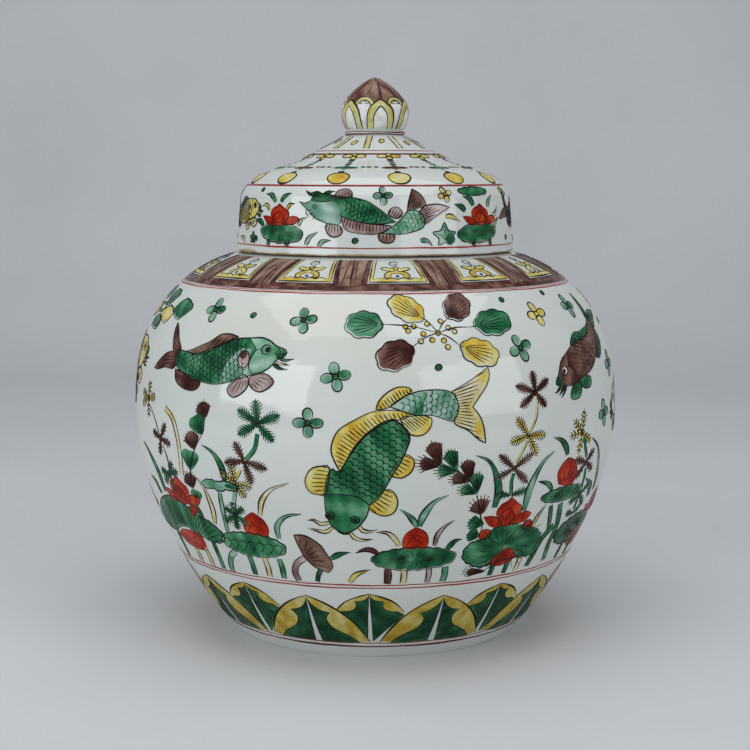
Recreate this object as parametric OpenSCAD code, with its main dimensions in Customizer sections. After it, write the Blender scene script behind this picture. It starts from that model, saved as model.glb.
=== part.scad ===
// Covered porcelain jar: a broad ovoid body on a low turned foot, and a cap lid with a lotus-bud finial.
// The body is two thrown sections and a neck ring, luted together end to end with slip.
// The lid lifts off: its rim rests on the shoulder, and its skirt hangs round the neck.

/* [Body] */
// Diameter at the belly, the widest point
belly_d = 317; // [260:1:380]
// Height of the belly above the table
belly_z = 144; // [115:1:172]
// Height of the shoulder where the neck stands on it
shoulder_z = 249; // [225:1:300]
// Wall thickness of both body sections
body_wall = 6; // [4:0.5:9]
// Radius of the wall's curve just under the belly
under_belly_r = 138; // [110:1:166]
// How far the curve under the belly turns before the flank begins, in degrees
under_belly_turn = 17; // [12:1:24]
// Radius of the wall's curve just above the belly
over_belly_r = 222; // [180:1:270]
// How far the curve above the belly turns before the shoulder begins, in degrees
over_belly_turn = 8; // [5:1:12]

/* [Foot] */
// Outer diameter of the foot
foot_d = 192; // [160:1:230]
// Width of the ring that the jar stands on
foot_ring_w = 8; // [5:0.5:12]
// Depth of the recess turned under the base
foot_recess = 6; // [3:0.5:9]
// Bevel at the foot's outer edge
foot_bevel = 1.2; // [0.5:0.1:2.5]
// Thickness of the base
base_t = 9; // [6:0.5:13]
// Radius of the inside corner between wall and base
base_fillet = 18; // [10:1:26]

/* [Neck] */
// Outer diameter of the neck
neck_d = 159; // [132:1:191]
// Wall thickness of the neck
neck_wall = 7; // [5.5:0.5:10]
// Height of the neck above the shoulder
neck_h = 28; // [20:1:32]
// Rounding of the lip
lip_r = 2.5; // [1:0.1:2.7]

/* [Lid] */
// Gap all round between the neck and the rim of the lid
lid_clearance = 5.5; // [4:0.5:8]
// Gap between the rim of the lid and the shoulder that it rests on
seat_gap = 0.3; // [0.1:0.1:0.6]
// Wall thickness of the lid
lid_wall = 6; // [4:0.5:8]
// Height of the skirt, from its rim to the corner
skirt_h = 34.5; // [32:0.1:42]
// Draft of the skirt, in degrees
skirt_draft = 5; // [0:0.5:6]
// Inside radius of the corner between skirt and dome
corner_r = 1.5; // [0.5:0.5:5]
// Inside radius of the dome's shoulder
dome_r = 23; // [15:1:30]
// Diameter where the dome sweeps up into the cone
cone_d = 98; // [80:1:110]
// Outside radius of that sweep
sweep_r = 15; // [8:1:25]
// Rounding of the rim's two edges
rim_edge = 1; // [0.5:0.1:1.5]

/* [Finial] */
// Diameter of the collar under the bud
collar_d = 39.6; // [36:0.1:47]
// Height of the collar
collar_h = 3; // [2:0.1:4]
// Diameter of the bud's base
bud_base_d = 35.6; // [30:0.1:36]
// Diameter of the bud at its widest
bud_d = 43.8; // [40:0.1:52]
// Height of the bud's widest point above its base
bud_belly_h = 12.6; // [10:0.1:15]
// Height of the bud, from base to tip
bud_h = 34.8; // [30:0.1:42]
// Radius of the curve above the bud's widest point
bud_curve_r = 11; // [8:0.1:14]
// How far that curve turns before it runs to the tip, in degrees
bud_curve_turn = 33; // [28:1:36]

/* [Hidden] */
$fn = 96;
STEP = 2;             // degrees between the points of a curve, at most
CORNER_TILT = 28;     // tilt of the lid where its corner turns into the dome
DOME_TILT = 72;       // tilt of the dome's slope
CONE_TILT = 62;       // tilt of the cone under the finial
GLAZE_WHITE = [0.86, 0.89, 0.88];
BUD_AUBERGINE = [0.42, 0.26, 0.24];

// A wall's tilt is the elevation of its outward normal. A curve is a centre, a radius and the tilts
// that it runs between, and a negative radius curves the wall inwards.
function normal(tilt) = [cos(tilt), sin(tilt)];
function on_curve(centre, r, tilt) = centre + r * normal(tilt);
function curve(centre, r, from, to) =
    let (n = max(2, ceil(abs(to - from) / STEP)))
    [for (i = [0:n]) on_curve(centre, r, from + (to - from) * i / n)];
function reversed(points) = [for (i = [len(points) - 1:-1:0]) points[i]];

// The curve that leaves point a at a given tilt and runs through point b
function radius_through(a, tilt, b) = -(b - a) * (b - a) / (2 * (b - a) * normal(tilt));
function centre_through(a, tilt, b) = a - radius_through(a, tilt, b) * normal(tilt);
function tilt_at(centre, p) = atan2(p[1] - centre[1], p[0] - centre[0]);
function curve_through(a, tilt, b) =
    let (centre = centre_through(a, tilt, b), r = radius_through(a, tilt, b))
    let (points = curve(centre, r, tilt, tilt_at(centre, b)))
    [for (i = [0:len(points) - 1]) i < len(points) - 1 ? points[i] : b];

// Under the belly: a first curve, then the flank, which runs down to the foot's edge
belly_r = belly_d / 2;
foot_r = foot_d / 2;
under_centre = [belly_r - under_belly_r, belly_z];
under_end = on_curve(under_centre, under_belly_r, -under_belly_turn);
foot_edge = [foot_r, foot_bevel];
flank_r = radius_through(under_end, -under_belly_turn, foot_edge);
flank_centre = centre_through(under_end, -under_belly_turn, foot_edge);

// Above the belly: a first curve, then the shoulder, which runs up to the root of the neck
neck_r = neck_d / 2;
mouth_r = neck_r - neck_wall;
over_centre = [belly_r - over_belly_r, belly_z];
over_end = on_curve(over_centre, over_belly_r, over_belly_turn);
neck_root = [neck_r, shoulder_z];
shoulder_r = radius_through(over_end, over_belly_turn, neck_root);
shoulder_centre = centre_through(over_end, over_belly_turn, neck_root);
throat_tilt = acos((mouth_r - shoulder_centre[0]) / (shoulder_r - body_wall));

// Inside, the flank turns into the base through a fillet
base_z = foot_recess + base_t;
fillet_reach = flank_r - body_wall - base_fillet;
fillet_tilt = asin((base_z + base_fillet - flank_centre[1]) / fillet_reach);
fillet_centre = on_curve(flank_centre, fillet_reach, fillet_tilt);

// The lid's rim comes down to where it first meets the shoulder
rim_in_r = neck_r + lid_clearance;
rim_out_r = rim_in_r + lid_wall;
seat_reach = max(0, rim_in_r - shoulder_centre[0], shoulder_centre[0] - rim_out_r);
rim_z = shoulder_centre[1] + sqrt(pow(shoulder_r, 2) - pow(seat_reach, 2)) + seat_gap;

// The lid's wall from skirt to cone, whose inner face is the outer one inset by the wall
corner_centre = [rim_out_r - skirt_h * tan(skirt_draft), rim_z + skirt_h]
    - (corner_r + lid_wall) * normal(skirt_draft);
dome_centre = corner_centre - (dome_r - corner_r) * normal(CORNER_TILT);
dome_end = on_curve(dome_centre, dome_r + lid_wall, DOME_TILT);
sweep_start_r = cone_d / 2 + sweep_r * (cos(CONE_TILT) - cos(DOME_TILT));
sweep_start = [sweep_start_r, dome_end[1] + (dome_end[0] - sweep_start_r) / tan(DOME_TILT)];
sweep_centre = sweep_start + sweep_r * normal(DOME_TILT);
sweep_end = on_curve(sweep_centre, -sweep_r, CONE_TILT);
function lid_face(inset) = concat(
    curve(corner_centre, corner_r + lid_wall - inset, skirt_draft, CORNER_TILT),
    curve(dome_centre, dome_r + lid_wall - inset, CORNER_TILT, DOME_TILT),
    curve(sweep_centre, -sweep_r - inset, DOME_TILT, CONE_TILT)
);

// The cone runs up to the finial's collar, and the hollow under it ends flat at the same radius
collar_r = collar_d / 2;
cap_top_z = sweep_end[1] + (sweep_end[0] - collar_r) / tan(CONE_TILT);
ceiling_z = cap_top_z - lid_wall / sin(CONE_TILT);

// The bud's widest point, with one curve under it and two above
bud_base_z = cap_top_z + collar_h;
bud_belly = [bud_d / 2, bud_base_z + bud_belly_h];
bud_curve_centre = bud_belly - [bud_curve_r, 0];

// Lower half of the body, with its base and turned foot
module lower_section() {
    outside = concat(
        curve(under_centre, under_belly_r, 0, -under_belly_turn),
        curve_through(under_end, -under_belly_turn, foot_edge)
    );
    foot = [
        [foot_r - foot_bevel, 0],
        [foot_r - foot_bevel - foot_ring_w, 0],
        [foot_r - foot_bevel - foot_ring_w - foot_recess / 2, foot_recess],
        [0, foot_recess],
        [0, base_z]
    ];
    inside = concat(
        curve(fillet_centre, base_fillet, -90, fillet_tilt),
        curve(flank_centre, flank_r - body_wall, fillet_tilt, -under_belly_turn),
        curve(under_centre, under_belly_r - body_wall, -under_belly_turn, 0)
    );
    color(GLAZE_WHITE)
        rotate_extrude() polygon(concat(outside, foot, inside));
}

// Upper half of the body, up to the throat that carries the neck
module upper_section() {
    outside = concat(
        curve(over_centre, over_belly_r, 0, over_belly_turn),
        curve_through(over_end, over_belly_turn, neck_root)
    );
    inside = concat(
        [[mouth_r, shoulder_z]],
        curve(shoulder_centre, shoulder_r - body_wall, throat_tilt, over_belly_turn),
        curve(over_centre, over_belly_r - body_wall, over_belly_turn, 0)
    );
    color(GLAZE_WHITE)
        rotate_extrude() polygon(concat(outside, inside));
}

// Upright neck with a rounded lip
module neck_ring() {
    lip_z = shoulder_z + neck_h - lip_r;
    color(GLAZE_WHITE)
        rotate_extrude() polygon(concat(
            [[mouth_r, shoulder_z], [neck_r, shoulder_z]],
            curve([neck_r - lip_r, lip_z], lip_r, 0, 90),
            curve([mouth_r + lip_r, lip_z], lip_r, 90, 180)
        ));
}

// Cap lid: a skirt, a rounded dome and a low cone with a flat top for the finial
module lid_cap() {
    edge_z = rim_z + rim_edge;
    rim = concat(
        curve([rim_in_r + rim_edge, edge_z], rim_edge, 180, 270),
        curve([rim_out_r - rim_edge, edge_z], rim_edge, -90, skirt_draft)
    );
    top = [[collar_r, cap_top_z], [0, cap_top_z], [0, ceiling_z], [collar_r, ceiling_z]];
    color(GLAZE_WHITE)
        rotate_extrude() polygon(concat(rim, lid_face(0), top, reversed(lid_face(lid_wall))));
}

// Lotus-bud finial on its collar
module finial() {
    foot = [bud_base_d / 2, bud_base_z];
    tip = [0, bud_base_z + bud_h];
    curve_end = on_curve(bud_curve_centre, bud_curve_r, bud_curve_turn);
    color(BUD_AUBERGINE)
        rotate_extrude() polygon(concat(
            [[0, cap_top_z]],
            curve([collar_r - collar_h / 2, cap_top_z + collar_h / 2], collar_h / 2, -90, 90),
            reversed(curve_through(bud_belly, 0, foot)),
            curve(bud_curve_centre, bud_curve_r, 0, bud_curve_turn),
            curve_through(curve_end, bud_curve_turn, tip)
        ));
}

lower_section();
upper_section();
neck_ring();
lid_cap();
finial();
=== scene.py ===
"""A lidded ginger jar: glazed porcelain with a carp pond painted round it in enamels.

The turned CAD nodes keep their shape and get a glaze. The painting is made of thin
closed shells of enamel and ink, each drawn flat in millimetres and laid on the jar.
"""
import math
import random

import bpy
import numpy as np
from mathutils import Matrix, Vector
from mathutils.geometry import delaunay_2d_cdt


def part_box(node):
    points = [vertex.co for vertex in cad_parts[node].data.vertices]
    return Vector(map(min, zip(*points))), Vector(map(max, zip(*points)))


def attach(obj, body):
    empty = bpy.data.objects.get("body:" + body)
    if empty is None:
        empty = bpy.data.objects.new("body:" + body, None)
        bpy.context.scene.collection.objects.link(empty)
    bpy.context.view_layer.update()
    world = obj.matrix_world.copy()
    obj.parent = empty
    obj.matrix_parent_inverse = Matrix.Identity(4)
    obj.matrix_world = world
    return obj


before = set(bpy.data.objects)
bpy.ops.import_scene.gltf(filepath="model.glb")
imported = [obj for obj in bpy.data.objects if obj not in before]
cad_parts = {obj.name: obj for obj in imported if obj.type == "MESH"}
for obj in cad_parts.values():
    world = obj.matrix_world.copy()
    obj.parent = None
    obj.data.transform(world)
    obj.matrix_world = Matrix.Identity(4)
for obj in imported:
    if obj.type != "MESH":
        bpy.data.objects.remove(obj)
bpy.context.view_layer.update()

# Sizes, in millimetres unless the name says otherwise.
MM = 0.001
BODY_ROUND = 150.0       # radius at which the body's flat sheet is measured round
LID_ROUND = 90.0         # the same for the wall of the lid
BUD_ROUND = 22.0         # the same for the finial
TURN = 2 * math.pi * BODY_ROUND
COLLAR_H = 3.2           # the finial's painted bud starts above its collar
ENAMEL = 0.08            # height of the first coat of enamel
COAT = 0.03              # what each coat laid over another adds
INK = 0.22               # height of an ink line, above every coat
SUNK = -0.05             # how far every shell reaches into the glaze
GRID = 3.2               # spacing of the points inside a fill on the jar
FINE = 1.5               # the same on the lid and finial, which curve more tightly
PEN = 0.92               # every ink width is drawn this much finer
STEP = 2.2               # spacing of the points along an outline
LINE = 0.66              # width of a plain ink line
FAR = 900.0              # rays from a point this far away look parallel
HAIR_GAP = 1.9           # spacing of the hairs on a frond
SIDE_GAP = 2.9           # the same on the stars that are seen from the side
CARP_LONG = 83.0         # a carp is drawn this long, from its nose to the root of its tail

# Enamel colours in sRGB: where a coat is thin, where it is even and where it pools.
WASHES = {
    "green": ((96, 160, 120), (32, 110, 68), (8, 62, 38)),
    "deep": ((62, 124, 86), (22, 84, 52), (8, 50, 32)),
    "jade": ((116, 176, 138), (50, 128, 84), (16, 80, 50)),
    "fade": ((172, 200, 188), (104, 158, 134), (34, 112, 70)),
    "mint": ((172, 206, 188), (112, 168, 138), (48, 122, 86)),
    "teal": ((190, 206, 200), (146, 182, 166), (80, 140, 112)),
    "yellow": ((226, 220, 168), (218, 202, 100), (208, 162, 46)),
    "amber": ((208, 200, 138), (194, 176, 78), (176, 132, 32)),
    "leek": ((140, 190, 160), (80, 148, 110), (30, 100, 66)),
    "blush": ((222, 208, 204), (206, 184, 180), (160, 130, 122)),
    "lemon": ((216, 216, 178), (208, 206, 138), (184, 168, 74)),
    "straw": ((226, 223, 202), (220, 212, 168), (206, 184, 98)),
    "plum": ((140, 104, 94), (88, 50, 42), (52, 22, 16)),
    "clay": ((172, 144, 128), (126, 95, 81), (84, 50, 40)),
    "rose": ((200, 186, 182), (170, 148, 144), (128, 96, 90)),
    "red": ((206, 84, 42), (174, 38, 8), (132, 20, 4)),
    "rust": ((112, 18, 8), (92, 12, 5), (74, 8, 4)),
    "line": ((190, 100, 96), (166, 58, 60), (134, 36, 42)),
    "maroon": ((126, 40, 42), (104, 28, 32), (84, 18, 24)),
    "pine": ((18, 60, 38), (8, 42, 26), (4, 30, 18)),
    "umber": ((62, 30, 24), (44, 18, 14), (32, 12, 10)),
    "white": ((238, 241, 238), (235, 238, 234), (226, 230, 226)),
}
EVEN = 0.45              # the depth at which a coat is even
HAIRS = {"green": "pine", "jade": "pine", "mint": "pine", "plum": "umber", "clay": "umber"}
dice = random.Random(11)


# ---------------------------------------------------------------- flat drawing

def pts(*numbers):
    """Flat points, as complex numbers, from x, y, x, y and so on."""
    pairs = np.array(numbers, float).reshape(-1, 2)
    return pairs[:, 0] + 1j * pairs[:, 1]


def curve(points, closed=False, step=STEP):
    """A smooth curve through flat points, with a point about every step."""
    p = np.asarray(points, complex)
    if closed:
        p = np.r_[p[-1], p, p[0], p[1]]
    else:
        p = np.r_[2 * p[0] - p[1], p, 2 * p[-1] - p[-2]]
    a, b, c, d = p[:-3], p[1:-2], p[2:-1], p[3:]
    t = np.linspace(0, 1, 12, endpoint=False)[:, None]
    fine = b + (c - a) * t / 2
    fine = fine + (2 * a - 5 * b + 4 * c - d) * t ** 2 / 2
    fine = fine + (3 * b - a - 3 * c + d) * t ** 3 / 2
    fine = np.r_[fine.T.ravel(), c[-1]]
    far = np.r_[0, np.cumsum(abs(np.diff(fine)))]
    count = max(int(round(far[-1] / step)), 4)
    at = np.linspace(0, far[-1], count + 1)
    even = np.interp(at, far, fine.real) + 1j * np.interp(at, far, fine.imag)
    return even[:-1] if closed else even


def loop(*arcs, step=STEP):
    """A closed outline of smooth arcs, with a corner where one arc meets the next."""
    sides = []
    last = arcs[0][:0]
    for k, arc in enumerate(arcs):
        path = np.r_[last, arc]
        if k == len(arcs) - 1:
            path = np.r_[path, arcs[0][0]]
        sides.append(curve(path, step=step)[:-1])
        last = arc[-1:]
    return np.concatenate(sides)


def polygon(corners, step=STEP):
    """A closed outline with straight sides."""
    ends = np.roll(corners, -1)
    return np.concatenate([curve(np.array(side), step=step)[:-1] for side in zip(corners, ends)])


def wavy(outline, scallops, depth):
    """An outline with rounded scallops that stand out from it, evenly spaced."""
    along = np.roll(outline, -1) - np.roll(outline, 1)
    outward = -1j * along / np.maximum(abs(along), 1e-6) * np.sign(area(outline))
    far = np.cumsum(abs(np.roll(outline, -1) - outline))
    return outline + outward * depth * abs(np.sin(np.pi * scallops * far / far[-1]))


def oval(at, long, short, turn=0.0, scallops=0, depth=0.7, step=STEP):
    """A closed ellipse, with rounded scallops if any are asked for."""
    round_it = math.pi * (long + short)
    angle = np.linspace(0, 2 * np.pi, max(int(round_it / step), 12), endpoint=False)
    ring = at + (long * np.cos(angle) + 1j * short * np.sin(angle)) * np.exp(1j * turn)
    return wavy(ring, scallops, depth) if scallops else ring


def area(outline):
    """The area of an outline, above zero when it runs anticlockwise."""
    return (outline.conj() * np.roll(outline, -1)).imag.sum() / 2


def shrink(outline, by):
    """The outline moved inwards."""
    along = np.roll(outline, -1) - np.roll(outline, 1)
    inward = 1j * along / np.maximum(abs(along), 1e-6)
    return outline + inward * by * np.sign(area(outline))


def inside(points, outline):
    """Which of the points lie in the outline."""
    p = points[:, None]
    a = outline[None, :]
    b = np.roll(outline, -1)[None, :]
    spans = (a.imag > p.imag) != (b.imag > p.imag)
    rise = np.where(b.imag == a.imag, 1, b.imag - a.imag)
    cross = a.real + (p.imag - a.imag) / rise * (b.real - a.real)
    return (spans & (p.real < cross)).sum(1) % 2 == 1


def grid(outline, step):
    """Points on a staggered grid inside an outline, clear of its edge."""
    rows = np.arange(outline.imag.min() + step / 2, outline.imag.max(), step * 0.87)
    columns = np.arange(outline.real.min() - step, outline.real.max() + step, step)
    spots = (columns[None, :] + 1j * rows[:, None]).astype(complex)
    spots[::2] += step / 2
    spots = spots.ravel()
    if not len(spots):
        return spots
    spots = spots[inside(spots, outline)]
    gaps = abs(spots[:, None] - outline[None, :]).min(1) if len(spots) else spots.real
    return spots[gaps > step * 0.5]


def linear(rgb):
    """An sRGB colour of 0 to 255 as the linear values that Blender works in."""
    share = np.array(rgb, float) / 255
    return np.where(share > 0.04045, ((share + 0.055) / 1.055) ** 2.4, share / 12.92)


def wash(flat, hue, flow):
    """The colour at each flat point of a brushed coat that darkens along flow."""
    middle = complex(np.median(flat.real), np.median(flat.imag))
    reach = abs(flat - middle).max() + 1
    depth = 0.46 - 0.25 * ((flat - middle) * np.conj(flow)).real / reach + dice.uniform(-0.1, 0.1)
    for length, strength in ((30, 0.2), (14, 0.2), (8, 0.14)):
        way = np.exp(1j * dice.uniform(0, math.pi)) * 2 * math.pi / length
        depth = depth + strength * np.sin((flat * way).real + dice.uniform(0, 6))
    tones = np.array([linear(colour) for colour in WASHES[hue]])
    return np.stack([np.interp(depth, (0, EVEN, 1), tone) for tone in tones.T]).T


# ---------------------------------------------------------------- the jar's skin

def rings(node):
    """Every (radius, height) in a turned CAD node."""
    spots = np.array([v.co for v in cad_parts[node].data.vertices]) / MM
    return np.c_[np.hypot(spots[:, 0], spots[:, 1]), spots[:, 2]].round(2)


def skyline(pairs, side):
    """The rings that show from above (side 1) or from below (side -1)."""
    shown = []
    for r, z in sorted(set(map(tuple, pairs)), key=lambda ring: (-ring[0], -side * ring[1])):
        if not shown or side * z > side * shown[-1][1]:
            shown.append((r, z))
    return shown


class Skin:
    """The outside of turned CAD nodes, which flat drawings are laid on.

    A flat point is across + up * 1j. Across is measured round the skin from its front,
    at the radius given, and up along its profile. A skin with no radius is drawn on
    from straight above, where a flat point is x + y * 1j.
    """

    def __init__(self, nodes, radius, above=-1.0, below=1e3, spacing=FINE):
        self.spacing = spacing
        pairs = np.concatenate([rings(node) for node in nodes])
        pairs = pairs[(pairs[:, 1] > above) & (pairs[:, 1] < below)]
        low = skyline(pairs, -1)
        self.widest = len(low) - 1
        self.r, self.z = np.array(low[:0:-1] + skyline(pairs, 1)).T
        steps = np.hypot(np.diff(self.r), np.diff(self.z))
        self.s = np.r_[0, np.cumsum(steps)]
        self.out_r = np.gradient(self.z, self.s)
        self.out_z = -np.gradient(self.r, self.s)
        self.radius = radius

    def up(self, r):
        """The length along the profile at which the upper half has radius r."""
        upper = slice(self.widest, None)
        return np.interp(-r, -self.r[upper], self.s[upper])

    def wrap(self, flat, lift):
        """Where flat points lie in space, lift above the skin, and which way is out."""
        if self.radius:
            turn, s = flat.real / self.radius, flat.imag
        else:
            turn, s = np.angle(1j * flat), self.up(abs(flat))
        r, z, out_r, out_z = (np.interp(s, self.s, row)
                              for row in (self.r, self.z, self.out_r, self.out_z))
        size = np.hypot(out_r, out_z)
        side = np.stack([np.sin(turn), -np.cos(turn)])
        out = np.vstack([side * out_r / size, out_z / size]).T
        return np.vstack([side * r, z]).T + out * lift, out


class Coat:
    """One mesh of thin shells that share a material."""

    def __init__(self):
        self.spots, self.outs, self.colours, self.faces = [], [], [], []
        self.count = 0

    def add(self, spots, outs, colours, faces):
        """Takes one more shell: its corners, which way is out at each, colours and faces."""
        self.spots.append(spots)
        self.outs.append(outs)
        self.colours.append(colours)
        self.faces += [[v + self.count for v in face] for face in faces]
        self.count += len(spots)

    def make(self, name, material):
        """The finished mesh, as a new object in the scene."""
        mesh = bpy.data.meshes.new(name)
        mesh.from_pydata((np.concatenate(self.spots) * MM).tolist(), [], self.faces)
        mesh.polygons.foreach_set("use_smooth", [True] * len(mesh.polygons))
        paint = mesh.color_attributes.new("paint", "FLOAT_COLOR", "POINT")
        rgb = np.concatenate(self.colours)
        paint.data.foreach_set("color", np.c_[rgb, np.ones(len(rgb))].ravel())
        mesh.normals_split_custom_set_from_vertices(np.concatenate(self.outs).tolist())
        mesh.materials.append(material)
        piece = bpy.data.objects.new(name, mesh)
        bpy.context.scene.collection.objects.link(piece)
        return piece


class Sheet:
    """A flat drawing on a skin, as one mesh of enamel and one of ink."""

    def __init__(self, skin, shift=0, mirror=False):
        self.skin = skin
        self.ink_level = INK
        self.shift = shift
        self.mirror = mirror
        self.coats = {"enamel": Coat(), "ink": Coat()}

    def place(self, flat):
        """Flat points where this sheet puts them, mirrored and moved across."""
        flat = np.asarray(flat, complex)
        return self.shift + (-flat.conj() if self.mirror else flat)

    def shell(self, flat, faces, level, hue, flow):
        """A thin closed shell over flat points that are already placed."""
        top, outs = self.skin.wrap(flat, level)
        low, _ = self.skin.wrap(flat, SUNK)
        n = len(flat)
        sides = {(a, b) for face in faces for a, b in zip(face, face[1:] + face[:1])}
        rim = sorted((a, b) for a, b in sides if (b, a) not in sides)
        shut = faces + [[v + n for v in face[::-1]] for face in faces]
        shut += [[b, a, a + n, b + n] for a, b in rim]
        colours = np.tile(wash(flat, hue, flow) if hue else np.zeros((n, 3)), (2, 1))
        coat = self.coats["enamel" if hue else "ink"]
        coat.add(np.vstack([top, low]), np.vstack([outs, outs]), colours, shut)

    def strip(self, left, right, hue=None, level=None, closed=False, flow=1j):
        """A shell between two lines of flat points."""
        level = level or self.ink_level
        left, right = self.place(left), self.place(right)
        turn = (np.diff(right).conj() * (left - right)[:-1]).imag.sum()
        if turn < 0:
            left, right = right, left
        rows = (left, (left + right) / 2, right) if hue else (left, right)
        n = len(left)
        runs = n if closed else n - 1
        faces = [[k + n + i, k + n + (i + 1) % n, k + (i + 1) % n, k + i]
                 for k in range(0, n * (len(rows) - 1), n) for i in range(runs)]
        self.shell(np.concatenate(rows), faces, level, hue, flow)

    def fill(self, outline, hue, coat=0, flow=1j, step=GRID):
        """A coat of enamel inside a closed outline."""
        rim = self.place(outline)
        if area(rim) < 0:
            rim = rim[::-1]
        flat = np.r_[rim, grid(rim, min(step, self.skin.spacing))]
        corners = [Vector((p.real, p.imag)) for p in flat]
        found = delaunay_2d_cdt(corners, [], [list(range(len(rim)))], 1, 1e-4)
        faces = [list(face) for face in found[2]]
        used = sorted({v for face in faces for v in face})
        rank = {v: i for i, v in enumerate(used)}
        faces = [[rank[v] for v in face] for face in faces]
        flat = np.array([complex(*found[0][v]) for v in used])
        self.shell(flat, faces, ENAMEL + coat * COAT, hue, flow)

    def ink(self, path, width=LINE, hue=None, closed=False, level=None, ends=0.35, lively=0.35):
        """A brush line along a path, thinner at its ends."""
        path = np.asarray(path, complex)
        along = np.roll(path, -1) - np.roll(path, 1) if closed else np.gradient(path)
        sideways = 1j * along / np.maximum(abs(along), 1e-6)
        share = np.linspace(0, 1, len(path))
        swell = PEN * (1 + lively * np.sin(2 * np.pi * share + dice.uniform(0, 6)))
        if not closed:
            swell = swell * (ends + (1 - ends) * np.minimum(1, 4 * np.minimum(share, 1 - share)))
        reach = sideways * swell * width / 2
        self.strip(path + reach, path - reach, hue, level, closed)

    def shape(self, outline, hue, coat=0, flow=1j, inset=0.35, width=LINE, off=0):
        """A fill with an ink outline."""
        self.fill(shrink(outline, inset) + off, hue, coat, flow)
        self.ink(outline, width, closed=True)

    def rays(self, outline, origin, count, begin=0.1, end=0.85, width=0.5, hue=None):
        """Lines across an outline, spread out from an origin."""
        aim = outline.mean() - origin
        lean = np.angle((outline - origin) / aim)
        for k in range(count):
            tilt = lean.min() + (lean.max() - lean.min()) * (k + 0.5) / count
            spun = (outline - origin) * np.exp(-1j * (np.angle(aim) + tilt))
            after = np.roll(spun, -1)
            hit = (spun.imag * after.imag < 0) & (spun.real > 0)
            share = spun.imag[hit] / (spun.imag[hit] - after.imag[hit])
            reach = np.sort(spun.real[hit] + share * (after.real[hit] - spun.real[hit]))
            for near, far in zip(reach[::2], reach[1::2]):
                if far - near > 2:
                    stretch = np.linspace(near + (far - near) * begin, near + (far - near) * end, 4)
                    self.ink(origin + stretch * np.exp(1j * (np.angle(aim) + tilt)), width, hue)

    def hatch(self, outline, way, gap, width=0.6, hue=None):
        """Parallel lines across an outline."""
        spread = (outline * np.conj(way)).imag / abs(way)
        count = max(int((spread.max() - spread.min()) / gap), 1)
        self.rays(outline, outline.mean() - FAR * way / abs(way), count, 0.03, 0.97, width, hue)

    def scales(self, outline, spine, pitch, width=0.55, hue=None):
        """Rows of fish scales inside an outline, along a spine from head to tail."""
        path = curve(spine, step=pitch * 0.82)
        along = np.gradient(path)
        along = along / abs(along)
        bow = np.exp(1j * np.linspace(-1.45, 1.45, 6)) * pitch * 0.55
        for k, (at, aim) in enumerate(zip(path, along)):
            across = np.arange(-9, 10) + 0.5 * (k % 2)
            spots = at + 1j * aim * across * pitch
            for spot in spots[inside(spots, shrink(outline, pitch * 0.35))]:
                self.ink(spot + bow * aim, width, hue, level=self.ink_level, ends=0.7)


def paint(name, skin, body, slot, draw, **place):
    """Draws on a new sheet and makes its two pieces."""
    sheet = Sheet(skin, **place)
    draw(sheet)
    for coat, material in (("enamel", ENAMEL_PAINT), ("ink", INK_PAINT)):
        if sheet.coats[coat].count:
            piece = sheet.coats[coat].make(f"{name}_{coat}", material)
            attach(piece, body)


# ---------------------------------------------------------------- materials

def new_material(name):
    """A material with its shader, and a function that adds a node fed by others."""
    material = bpy.data.materials.new(name)
    material.use_nodes = True
    tree = material.node_tree
    shader = tree.nodes["Principled BSDF"]

    def add(kind, inputs=None, **settings):
        node = tree.nodes.new(kind)
        for key, value in settings.items():
            setattr(node, key, value)
        for key, value in (inputs or {}).items():
            if isinstance(value, bpy.types.NodeSocket):
                tree.links.new(value, node.inputs[key])
            else:
                node.inputs[key].default_value = value
        return node

    def feed(source, socket):
        tree.links.new(source, shader.inputs[socket])

    return material, shader, add, feed


def noise(add, scale, detail=3.0, low=0.0, high=1.0):
    """A noise in the object's own coordinates, spread from low to high."""
    where = add("ShaderNodeTexCoord").outputs["Object"]
    cloud = add("ShaderNodeTexNoise", {"Vector": where, "Scale": scale, "Detail": detail})
    spread = {"Value": cloud.outputs["Fac"], "From Min": 0.3, "From Max": 0.7,
              "To Min": low, "To Max": high}
    return add("ShaderNodeMapRange", spread).outputs["Result"]


def mixed(add, share, first, second, blend="MIX"):
    """Two colours mixed by a share."""
    node = add("ShaderNodeMix", data_type="RGBA", blend_type=blend)
    for socket, value in ((node.inputs[0], share), (node.inputs[6], first), (node.inputs[7], second)):
        if isinstance(value, bpy.types.NodeSocket):
            node.id_data.links.new(value, socket)
        elif socket == node.inputs[0]:
            socket.default_value = value
        else:
            socket.default_value = (*linear(value), 1)
    return node.outputs[2]


def bumped(add, feed, height, distance, strength):
    """Feeds a bump of some distance, in metres, to the shader."""
    bump = add("ShaderNodeBump", {"Height": height, "Distance": distance, "Strength": strength})
    feed(bump.outputs["Normal"], "Normal")


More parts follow.
